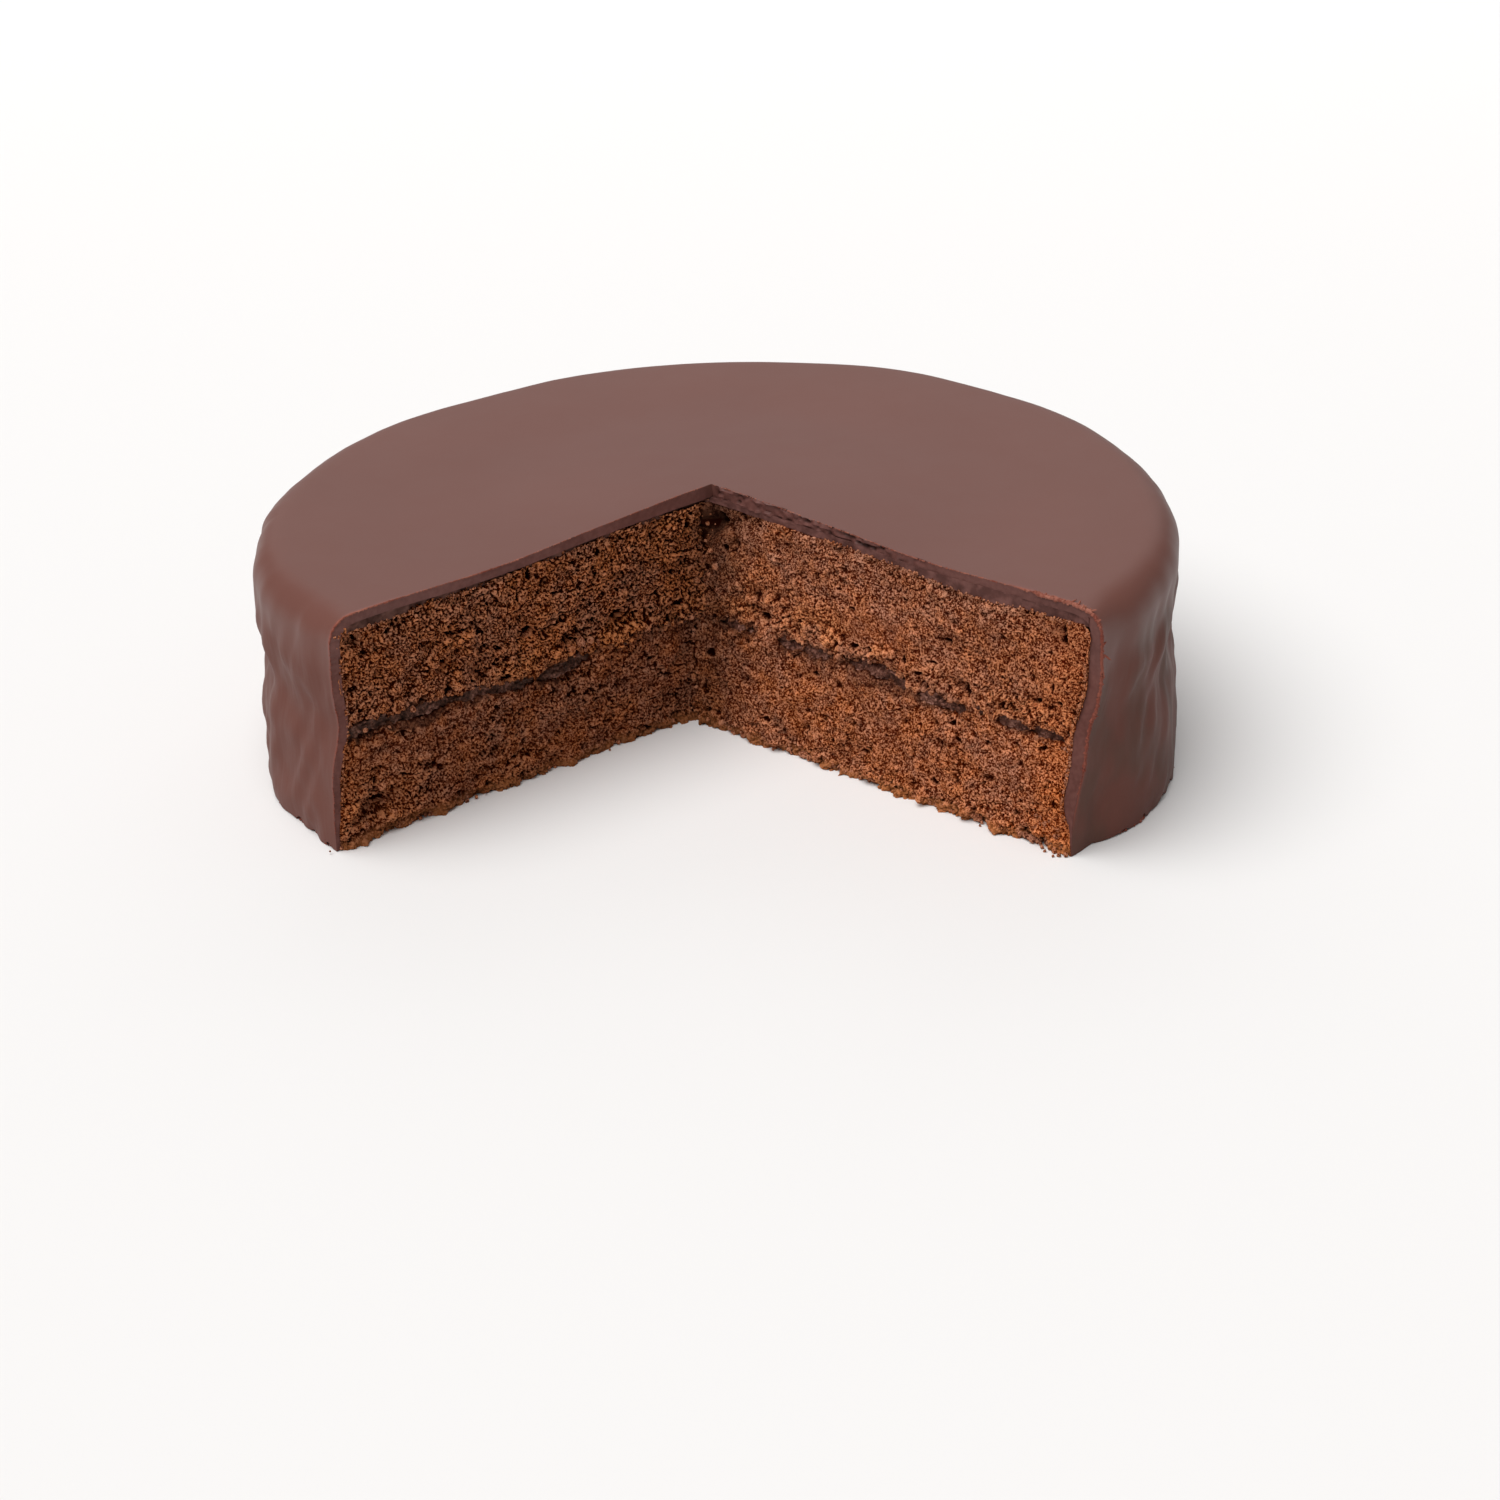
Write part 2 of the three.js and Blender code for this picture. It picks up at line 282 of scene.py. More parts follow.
# Torn crumb of the cut faces. Holes are (along, up, half width, half height, depth).
crumb = {
    "waves": [(9, 0.75), (4.2, 0.75)],
    "footTear": (1.1, 6, 2.5),
    "fillingRecess": (1.0, 2.6),
    "leftHoles": [
        (110, 56, 2.4, 2.2, 3.5),
        (101, 9, 5, 3, 3.2),
        (82, 41, 2.6, 2.2, 2.8),
        (72, 37, 2.4, 2.6, 3),
        (57, 42, 4, 2, 3.2),
        (44, 37, 3, 2, 2.6),
        (27, 37.5, 4.5, 2, 3.4),
    ],
    "rightHoles": [
        (114, 56, 1.8, 4, 3.6),
        (109, 37.5, 2.2, 2.2, 3),
        (86, 35, 4, 2.2, 3.6),
        (80, 45, 2.4, 1.8, 2.4),
        (58, 32.5, 5, 1.6, 2),
        (39, 23, 2.8, 1.8, 2.2),
        (21, 35.5, 3.4, 2.2, 3),
        (3, 56, 4, 3, 3.5),
    ],
}


def tornDepth(side, along, up, x, y):
    depth = sum(size * gridNoise(along / cell, up / cell, cell + side) for cell, size in crumb["waves"])
    for place, height, wide, tall, deep in crumb["leftHoles" if side < 0 else "rightHoles"]:
        depth = depth + deep * bell(along - place, wide) * bell(up - height, tall)
    size, cell, height = crumb["footTear"]
    depth = depth + size * gridNoise(along / cell, side, 5) * bell(np.maximum(up, 0), height)
    size, spread = crumb["fillingRecess"]
    return depth + size * bell(up - fillingMiddle(x, y), spread)


# The right face draws back at its upper outer corner, which leaves room for the ridge of glaze
def cornerEase(side, along, z):
    depth, start, full, middle, spread = cut["cornerEase"]
    return depth * (side > 0) * smoothStep(start, full, along) * bell(z - middle, spread)


# Small helpers for working on a mesh
def deselectAll():
    if bpy.context.object and bpy.context.object.mode != "OBJECT":
        bpy.ops.object.mode_set(mode="OBJECT")
    bpy.ops.object.select_all(action="DESELECT")


def makeActive(piece):
    deselectAll()
    piece.select_set(True)
    bpy.context.view_layer.objects.active = piece


def pointsOf(piece):
    places = np.zeros(len(piece.data.vertices) * 3)
    piece.data.vertices.foreach_get("co", places)
    return places.reshape(-1, 3)


def movePoints(piece, places):
    piece.data.vertices.foreach_set("co", places.astype(np.float32).ravel())
    piece.data.update()


# Keeps a finished piece within the box of the solids
def keepInside(piece, margin=0.02):
    low, high = (np.array(corner) for corner in cadBox)
    movePoints(piece, np.clip(pointsOf(piece), low + margin * mm, high - margin * mm))


# From millimetres round the cake's axis to the frame's metres
def placed(x, y, z):
    return np.stack([x, y, z], axis=1) * mm + axisPlace


def note(piece, name, values):
    attribute = piece.data.attributes.get(name) or piece.data.attributes.new(name, "FLOAT", "POINT")
    attribute.data.foreach_set("value", np.asarray(values, np.float32))


def noted(piece, name):
    values = np.zeros(len(piece.data.vertices), np.float32)
    piece.data.attributes[name].data.foreach_get("value", values)
    return values.astype(float)


# Selects edges that run along one axis of a fresh block, or faces that look along a direction
def selectEdgesAlong(piece, axis):
    makeActive(piece)
    bpy.context.tool_settings.mesh_select_mode = (False, True, False)
    mesh = piece.data
    places = pointsOf(piece)
    ends = np.zeros(len(mesh.edges) * 2, int)
    mesh.edges.foreach_get("vertices", ends)
    ends = ends.reshape(-1, 2)
    chosen = np.abs(places[ends[:, 0]] - places[ends[:, 1]])[:, axis] > 1e-6
    mesh.vertices.foreach_set("select", np.isin(np.arange(len(mesh.vertices)), ends[chosen]))
    mesh.polygons.foreach_set("select", np.zeros(len(mesh.polygons), bool))
    mesh.edges.foreach_set("select", chosen)
    bpy.ops.object.mode_set(mode="EDIT")


def selectFaces(piece, test):
    makeActive(piece)
    bpy.context.tool_settings.mesh_select_mode = (False, False, True)
    mesh = piece.data
    mesh.vertices.foreach_set("select", np.zeros(len(mesh.vertices), bool))
    mesh.edges.foreach_set("select", np.zeros(len(mesh.edges), bool))
    mesh.polygons.foreach_set("select", np.zeros(len(mesh.polygons), bool))
    for face in mesh.polygons:
        face.select = bool(test(face))
    bpy.ops.object.mode_set(mode="EDIT")


def mergeDoubles(piece, distance=0.02):
    makeActive(piece)
    bpy.ops.object.mode_set(mode="EDIT")
    bpy.ops.mesh.select_all(action="SELECT")
    bpy.ops.mesh.remove_doubles(threshold=distance * mm)
    bpy.ops.object.mode_set(mode="OBJECT")


def weigh(piece, name, weights):
    group = piece.vertex_groups.get(name) or piece.vertex_groups.new(name=name)
    for index in np.nonzero(weights > 0.001)[0]:
        group.add([int(index)], float(weights[index]), "REPLACE")


# Displaces a weighed area by one of Blender's textures, and applies it
def roughen(piece, group, kind, cell, strength, middle=0.5, **settings):
    texture = bpy.data.textures.new(f"{piece.name}{kind.title()}{cell}", kind)
    texture.noise_scale = cell * mm
    for key, value in settings.items():
        setattr(texture, key, value)
    makeActive(piece)
    modifier = piece.modifiers.new("rough", "DISPLACE")
    modifier.texture = texture
    modifier.texture_coords = "LOCAL"
    modifier.vertex_group = group
    modifier.strength = strength * mm
    modifier.mid_level = middle
    bpy.ops.object.modifier_apply(modifier=modifier.name)


# Marks how deep each point lies below what is round it: 0 a crest, 1 a pit
def markHollows(piece, name, height, rounds, depth):
    mesh = piece.data
    ends = np.zeros(len(mesh.edges) * 2, int)
    mesh.edges.foreach_get("vertices", ends)
    a, b = ends.reshape(-1, 2).T
    count = len(height)
    degree = np.maximum(np.bincount(a, minlength=count) + np.bincount(b, minlength=count), 1)
    level = height.copy()
    for _ in range(rounds):
        total = np.bincount(a, level[b], count) + np.bincount(b, level[a], count)
        level = total / degree
    note(piece, name, np.clip((level - height) / (depth * mm) * 0.5 + 0.5, 0, 1))


# Node helpers: each gives back an output socket
def startMaterial(name):
    material = bpy.data.materials.new(name)
    material.use_nodes = True
    tree = material.node_tree
    tree.nodes.clear()
    shader = tree.nodes.new("ShaderNodeBsdfPrincipled")
    output = tree.nodes.new("ShaderNodeOutputMaterial")
    tree.links.new(shader.outputs["BSDF"], output.inputs["Surface"])
    return material, tree, shader


# Links an output to an input, or sets a number or a colour there
def feed(tree, socket, value):
    if isinstance(value, bpy.types.NodeSocket):
        tree.links.new(value, socket)
    elif isinstance(value, tuple):
        socket.default_value = (*value, 1)
    else:
        socket.default_value = value


def finishShader(tree, shader, colour, roughness, gloss, normal):
    feed(tree, shader.inputs["Base Color"], colour)
    feed(tree, shader.inputs["Roughness"], roughness)
    feed(tree, shader.inputs["Specular IOR Level"], gloss)
    feed(tree, shader.inputs["Normal"], normal)


def noisePattern(tree, scale, detail=3, roughness=0.5, stretch=(1, 1, 1), turn=(0, 0, 0)):
    coords = tree.nodes.new("ShaderNodeTexCoord")
    mapping = tree.nodes.new("ShaderNodeMapping")
    mapping.inputs["Scale"].default_value = stretch
    mapping.inputs["Rotation"].default_value = turn
    texture = tree.nodes.new("ShaderNodeTexNoise")
    texture.inputs["Scale"].default_value = scale
    texture.inputs["Detail"].default_value = detail
    texture.inputs["Roughness"].default_value = roughness
    tree.links.new(coords.outputs["Object"], mapping.inputs["Vector"])
    tree.links.new(mapping.outputs["Vector"], texture.inputs["Vector"])
    return texture.outputs["Fac"]


def attributeValue(tree, name):
    node = tree.nodes.new("ShaderNodeAttribute")
    node.attribute_name = name
    return node.outputs["Fac"]


def rangeOf(tree, value, fromLow, fromHigh, toLow=0.0, toHigh=1.0):
    node = tree.nodes.new("ShaderNodeMapRange")
    node.interpolation_type = "SMOOTHSTEP"
    node.inputs["From Min"].default_value = fromLow
    node.inputs["From Max"].default_value = fromHigh
    node.inputs["To Min"].default_value = toLow
    node.inputs["To Max"].default_value = toHigh
    tree.links.new(value, node.inputs["Value"])
    return node.outputs["Result"]


# Noise as (scale, detail, low, high), spread out between low and high
def spreadNoise(tree, pattern, *ends):
    scale, detail, low, high = pattern
    return rangeOf(tree, noisePattern(tree, scale, detail), low, high, *ends)


# Adds up noises, each as (scale, detail, low, high, weight)
def addNoises(tree, patterns, total=None):
    for *pattern, weight in patterns:
        value = calculate(tree, "MULTIPLY", spreadNoise(tree, pattern), weight)
        total = value if total is None else calculate(tree, "ADD", total, value)
    return total


def brightened(tree, colour, amount, richness):
    node = tree.nodes.new("ShaderNodeHueSaturation")
    tree.links.new(amount, node.inputs["Value"])
    tree.links.new(richness, node.inputs["Saturation"])
    tree.links.new(colour, node.inputs["Color"])
    return node.outputs["Color"]


def calculate(tree, operation, first, second):
    node = tree.nodes.new("ShaderNodeMath")
    node.operation = operation
    for socket, value in zip(node.inputs, (first, second)):
        feed(tree, socket, value)
    return node.outputs["Value"]


def blendColours(tree, share, first, second):
    node = tree.nodes.new("ShaderNodeMix")
    node.data_type = "RGBA"
    tree.links.new(share, node.inputs["Factor"])
    feed(tree, node.inputs[6], first)
    feed(tree, node.inputs[7], second)
    return node.outputs[2]


def colourRamp(tree, value, stops):
    node = tree.nodes.new("ShaderNodeValToRGB")
    for index, (place, colour) in enumerate(stops):
        element = node.color_ramp.elements[index] if index < 2 else node.color_ramp.elements.new(place)
        element.position = place
        element.color = (*colour, 1)
    tree.links.new(value, node.inputs["Fac"])
    return node.outputs["Color"]


def bumpFrom(tree, height, strength, distance, below=None):
    node = tree.nodes.new("ShaderNodeBump")
    node.inputs["Strength"].default_value = strength
    node.inputs["Distance"].default_value = distance * mm
    tree.links.new(height, node.inputs["Height"])
    if below is not None:
        tree.links.new(below, node.inputs["Normal"])
    return node.outputs["Normal"]


# Bump from a noise as (scale, detail, roughness, strength, depth in mm)
def noiseBump(tree, pattern, below=None):
    scale, detail, roughness, strength, distance = pattern
    return bumpFrom(tree, noisePattern(tree, scale, detail, roughness), strength, distance, below)


# Sponge: grains go from dark gaps to pale crests, a painted shade and highlight of the relief, in warm
# and in mauve patches, with pores darkened by painted shade, and are stained where the jam soaks in
spongeLook = {
    "warmGrains": [(0.0, (0.055, 0.005, 0.001)), (0.42, (0.235, 0.057, 0.018)), (1.0, (0.63, 0.240, 0.112))],
    "mauveGrains": [(0.0, (0.050, 0.006, 0.002)), (0.42, (0.178, 0.054, 0.028)), (1.0, (0.51, 0.240, 0.155))],
    "orangeGrains": [(0.0, (0.07, 0.006, 0.001)), (0.42, (0.275, 0.058, 0.016)), (1.0, (0.66, 0.225, 0.085))],
    "goldenGrains": [(0.0, (0.065, 0.008, 0.002)), (0.42, (0.29, 0.070, 0.021)), (1.0, (0.72, 0.285, 0.125))],
    # the pore colour is painted shade for the pits
    "pore": (0.036, 0.004, 0.001),
    "stained": (0.060, 0.022, 0.014),
    "crust": (0.33, 0.125, 0.050),
    "patches": [(80, 3, 0.38, 0.62, 0.55), (290, 2, 0.36, 0.64, 0.45)],
    "mauveShare": 0.85,
    "grains": [(520, 2, 0.34, 0.66, 0.10), (1650, 1, 0.30, 0.70, 0.24), (3100, 1, 0.30, 0.70, 0.28)],
    "grainMean": 0.31,
    "crestShare": 0.38,
    "rampMean": 0.31,
    "rampRange": (0.26, 0.76),
    "poreRange": (0.55, 0.82),
    "roughness": 0.85,
    "stainedRoughness": 0.5,
    "stainRange": (0.3, 1),
    "gloss": 0.01,
    "bump": (2100, 3, 0.65, 1.0, 0.55),
}


def spongeMaterial():
    look = spongeLook
    material, tree, shader = startMaterial("chocolateSponge")
    grain = calculate(tree, "SUBTRACT", addNoises(tree, look["grains"]), look["grainMean"])
    grain = calculate(tree, "MULTIPLY", grain, attributeValue(tree, "grainy"))
    # pale crests and dark gaps between the grains: a painted highlight and shade of the relief
    share = calculate(tree, "MULTIPLY", attributeValue(tree, "crest"), look["crestShare"])
    share = calculate(tree, "ADD", calculate(tree, "ADD", share, grain), look["rampMean"])
    share = rangeOf(tree, share, *look["rampRange"])
    warm, mauve, orange, golden = (colourRamp(tree, share, look[kind + "Grains"])
                                   for kind in ("warm", "mauve", "orange", "golden"))
    patches = calculate(tree, "MULTIPLY", addNoises(tree, look["patches"]), look["mauveShare"])
    colour = blendColours(tree, patches, warm, mauve)
    # pits darkened by painted shade, by how deep each lies
    pores = rangeOf(tree, attributeValue(tree, "hollow"), *look["poreRange"])
    # the jam stain mask also carries painted shade at the top of the cut's inner edge
    stain = attributeValue(tree, "stain")
    for amount, other in (
        (attributeValue(tree, "golden"), golden),
        (attributeValue(tree, "nearSkin"), orange),
        (attributeValue(tree, "crust"), look["crust"]),
        (stain, look["stained"]),
        (pores, look["pore"]),
    ):
        colour = blendColours(tree, amount, colour, other)
    colour = brightened(tree, colour, attributeValue(tree, "tone"), attributeValue(tree, "rich"))
    rough = rangeOf(tree, stain, *look["stainRange"], look["roughness"], look["stainedRoughness"])
    finishShader(tree, shader, colour, rough, look["gloss"], noiseBump(tree, look["bump"]))
    return material


# Jam: dark, moist and glossy, lumpy where it was torn; its crests are painted paler and its pits darker,
# a painted highlight and shade of the lumps
jamLook = {
    "leftGrains": [(0.0, (0.024, 0.009, 0.005)), (0.5, (0.098, 0.039, 0.024)), (1.0, (0.29, 0.135, 0.096))],
    "rightGrains": [(0.0, (0.026, 0.008, 0.004)), (0.5, (0.130, 0.046, 0.029)), (1.0, (0.42, 0.200, 0.145))],
    "crestShare": 0.5,
    "grains": [(260, 2, 0.32, 0.68, 0.2), (900, 2, 0.32, 0.68, 0.15), (2400, 2, 0.32, 0.68, 0.15)],
    "rampRange": (0.22, 0.85),
    "dullness": (700, 2, 0.3, 0.7),
    "roughness": (0.4, 0.7),
    "gloss": 0.16,
    "bump": (1100, 3, 0.6, 1.0, 0.5),
}


def jamMaterial():
    look = jamLook
    material, tree, shader = startMaterial("apricotJam")
    # crests of the jam are painted paler and pits darker: a painted highlight and shade
    share = calculate(tree, "MULTIPLY", attributeValue(tree, "crest"), look["crestShare"])
    share = rangeOf(tree, addNoises(tree, look["grains"], share), *look["rampRange"])
    left, right = (colourRamp(tree, share, look[key]) for key in ("leftGrains", "rightGrains"))
    colour = blendColours(tree, attributeValue(tree, "onRight"), left, right)
    rough = spreadNoise(tree, look["dullness"], *look["roughness"])
    finishShader(tree, shader, colour, rough, look["gloss"], noiseBump(tree, look["bump"]))
    return material


# Thin coat of jam under the glaze, dull where the knife passed
coatLook = {
    "leftDark": (0.070, 0.029, 0.021),
    "leftPale": (0.150, 0.068, 0.052),
    "rightDark": (0.085, 0.034, 0.028),
    "rightPale": (0.165, 0.071, 0.060),
    "lumps": (300, 3, 0.35, 0.7),
    "dullness": (500, 2, 0.3, 0.7),
    "roughness": (0.55, 0.7),
    "gloss": 0.1,
    "bump": (1100, 3, 0.6, 0.5, 0.3),
}


def coatMaterial():
    look = coatLook
    material, tree, shader = startMaterial("jamUnderGlaze")
    lumps = spreadNoise(tree, look["lumps"])
    left = blendColours(tree, lumps, look["leftDark"], look["leftPale"])
    right = blendColours(tree, lumps, look["rightDark"], look["rightPale"])
    colour = blendColours(tree, attributeValue(tree, "onRight"), left, right)
    rough = spreadNoise(tree, look["dullness"], *look["roughness"])
    finishShader(tree, shader, colour, rough, look["gloss"], noiseBump(tree, look["bump"]))
    return material


# Glaze: an even satin on top and side, and a plainer, darker cut through it whose fissures are darkened
# by painted shade; low on the right side, darker patches are painted reflections
glazeLook = {
    "skin": (0.152, 0.0610, 0.0475),
    "skinDark": (0.146, 0.0585, 0.0455),
    "cutDark": (0.085, 0.030, 0.024),
    "cutPale": (0.175, 0.072, 0.060),
    "fissure": (0.030, 0.010, 0.007),
    "thinEdge": (0.27, 0.072, 0.047),
    "blotch": (0.118, 0.0585, 0.0450),
    "clouds": (22, 3, 0.3, 0.7),
    "blotchScale": 75,
    "blotchRange": (0.39, 0.66),
    "blotchStretch": (1, 1, 0.6),
    "speckleScale": 700,
    "speckleRange": (0.3, 0.7, 0.0, 0.35),
    "dullness": (90, 3, 0.3, 0.7),
    "roughness": (0.42, 0.44),
    "gloss": (0.15, 0.04),  # on top, on the side
    "broadBump": (120, 2, 0.5, 0.05, 0.4),
    "fineBump": (1500, 2, 0.5, 0.06, 0.15),
    # (turn, strength) of streaks that run down the side
    "streaks": [((0, 0, 0), 0.30), ((0.5, 0.35, 0), 0.42)],
    "streakScale": 230,
    "streakStretch": (1, 1, 0.12),
    "streakDepth": 0.6,
}


def glazeMaterial():
    look = glazeLook
    material, tree, shader = startMaterial("chocolateGlaze")
    colour = blendColours(tree, spreadNoise(tree, look["clouds"]), look["skinDark"], look["skin"])
    # darker patches low on the right side are painted reflections
    reflectionBlotches = noisePattern(tree, look["blotchScale"], 3, stretch=look["blotchStretch"])
    reflectionBlotches = rangeOf(tree, reflectionBlotches, *look["blotchRange"])
    reflectionBlotches = calculate(tree, "MULTIPLY", reflectionBlotches, attributeValue(tree, "blotched"))
    colour = blendColours(tree, reflectionBlotches, colour, look["blotch"])
    colour = blendColours(tree, attributeValue(tree, "thinEdge"), colour, look["thinEdge"])
    speckle = rangeOf(tree, noisePattern(tree, look["speckleScale"], 3, 0.6), *look["speckleRange"])
    share = calculate(tree, "ADD", attributeValue(tree, "bandPale"), speckle)
    band = blendColours(tree, share, look["cutDark"], look["cutPale"])
    # the fissures are painted dark, a painted shade
    band = blendColours(tree, attributeValue(tree, "bandDeepShade"), band, look["fissure"])
    colour = blendColours(tree, attributeValue(tree, "cutBand"), colour, band)
    rough = spreadNoise(tree, look["dullness"], *look["roughness"])
    gloss = rangeOf(tree, attributeValue(tree, "wall"), 0, 1, *look["gloss"])
    relief = noiseBump(tree, look["broadBump"])
    for turn, strength in look["streaks"]:
        streaks = noisePattern(tree, look["streakScale"], 2, stretch=look["streakStretch"], turn=turn)
        streaks = calculate(tree, "MULTIPLY", streaks, attributeValue(tree, "wall"))
        relief = bumpFrom(tree, streaks, strength, look["streakDepth"], relief)
    finishShader(tree, shader, colour, rough, gloss, noiseBump(tree, look["fineBump"], relief))
    return material


# A layer starts as a block, its face to the cut is cut finer, and it is then laid round the cake:
# across the block is along the cut, deep in it is towards the outer wall. Away from the cut the
# wall stands the slack further in, to clear the folds of the glaze.
blockSettings = {"rounds": 5, "startAbove": 1.0, "slack": 0.8, "slackOver": 0.05}


def layBlock(name, steps, fineCuts, lowAt, highAt, radiusAt):
    deselectAll()
    bpy.ops.mesh.primitive_cube_add(size=2, location=(0, 0, 0))
    piece = bpy.context.object
    piece.name = name
    for axis, count in enumerate(steps):
        selectEdgesAlong(piece, axis)
        bpy.ops.mesh.subdivide(number_cuts=count - 1)
        bpy.ops.object.mode_set(mode="OBJECT")
    selectFaces(piece, lambda face: face.normal.y < -0.9)
    bpy.ops.mesh.subdivide(number_cuts=fineCuts)
    bpy.ops.object.mode_set(mode="OBJECT")
    block = pointsOf(piece)
    across, deep, rise = block[:, 0], (block[:, 1] + 1) / 2, (block[:, 2] + 1) / 2
    onLeft = across < 0
    z = np.full(len(block), lowAt(0, 0) + blockSettings["startAbove"])
    for _ in range(blockSettings["rounds"]):
        edgeX, edgeY = cutEdge(z)
        angles, reaches, ends = [], [], []
        for face in faceSign:
            angle = faceAngle(face + "Angles", z)
            reach = reachTo(radiusAt, angle, z)
            angles.append(angle)
            reaches.append(reach)
            ends.append(np.arctan2(edgeY + reach * np.sin(angle), edgeX + reach * np.cos(angle)))
        angle = np.where(onLeft, *angles)
        along = np.abs(across) * np.where(onLeft, *reaches)
        polar = mixed(ends[0], ends[1] - 2 * math.pi, (across + 1) / 2)
        slack = blockSettings["slack"] * smoothStep(0, blockSettings["slackOver"], 1 - np.abs(across))
        radius = radiusAt(polar, z) - slack
        x = mixed(edgeX + along * np.cos(angle), radius * np.cos(polar), deep)
        y = mixed(edgeY + along * np.sin(angle), radius * np.sin(polar), deep)
        z = mixed(lowAt(x, y), highAt(x, y), rise)
    front = deep < 1e-6
    return piece, {"x": x, "y": y, "z": z, "across": across, "along": along, "angle": angle,
                   "side": np.where(onLeft, -1.0, 1.0), "front": front, "rise": rise}


def pushIn(lay, depth):
    inward = np.where(lay["front"], depth, 0)
    lay["x"] = lay["x"] - lay["side"] * np.sin(lay["angle"]) * inward
    lay["y"] = lay["y"] + lay["side"] * np.cos(lay["angle"]) * inward


def outwardAt(lay):
    zero = np.zeros(len(lay["x"]))
    return np.stack([lay["side"] * np.sin(lay["angle"]), -lay["side"] * np.cos(lay["angle"]), zero], axis=1)


def noteOutward(piece, lay):
    for letter, values in zip("xyz", outwardAt(lay).T):
        note(piece, "out" + letter, values)


def notedOutward(piece):
    return np.stack([noted(piece, "out" + letter) for letter in "xyz"], axis=1)


def softBox(value, low, high, soft):
    return smoothStep(low - soft, low + soft, value) * (1 - smoothStep(high - soft, high + soft, value))


# An area of a face with soft edges, as (from, to, softness, low, high, softness)
def areaAt(area, along, up):
    return softBox(along, *area[:3]) * softBox(up, *area[3:])


# Noises laid over each other, each as (size, cell, key)
def wavering(mix, distance, side, start=0):
    return sum((size * gridNoise(distance / cell, side, key) for size, cell, key in mix), start)


def tornFaces(lay):
    onLeft, onRight = (tornDepth(sign, lay["along"], lay["z"], lay["x"], lay["y"]) for sign in (-1, 1))
    return np.where(lay["side"] < 0, onLeft, onRight)


# Where jam shows between the sponges, as (from, to) along each face, and the crumb it has stained
# as (from, to, low, high, strength)
jamShows = {
    "left": [(79, 115), (55, 77), (39, 54)],
    "right": [(9, 20), (28, 44), (50, 70), (74, 88), (98, 116)],
    "softness": {"left": 2.5, "right": 1.5},
}
jamStains = {
    "left": [
        (96, 112, 28, 32.3, 0.9), (88, 94, 30, 33.5, 0.9), (78, 96, 26.5, 31, 0.75),
        (56, 78, 27.5, 30.5, 0.7), (40, 54, 25, 30.5, 0.85), (22, 40, 27, 30, 0.45),
        (0, 22, 26, 30, 0.4),
    ],
    "right": [
        (6, 22, 28, 32.5, 0.6), (28, 46, 27, 32.5, 0.7), (46, 72, 27, 32, 0.6), (32, 84, 26, 29.5, 0.45),
        (72, 90, 26, 31, 0.65), (96, 117, 28, 30.8, 0.6),
    ],
}
stainEdge = {"ragged": [(1.2, 2.5, 3), (0.8, 0.9, 4)], "softAlong": 2.5, "softUp": 0.9}


def jamShowing(side, along):
    total = 0
    for name, sign in faceSign.items():
        shown = sum(softBox(along, low, high, jamShows["softness"][name]) for low, high in jamShows[name])
        total = np.where(side == sign, shown, total)
    return np.clip(total, 0, 1)


def stainAt(side, along, up):
    ragged = sum(size * gridNoise(along / cell, up / cell, key) for size, cell, key in stainEdge["ragged"])
    total = 0
    for name, sign in faceSign.items():
        for low, high, bottom, top, strength in jamStains[name]:
            area = (low, high, stainEdge["softAlong"], bottom, top, stainEdge["softUp"])
            spot = strength * areaAt(area, along + ragged, up + ragged)
            total = np.maximum(total, np.where(side == sign, spot, 0))
    return total


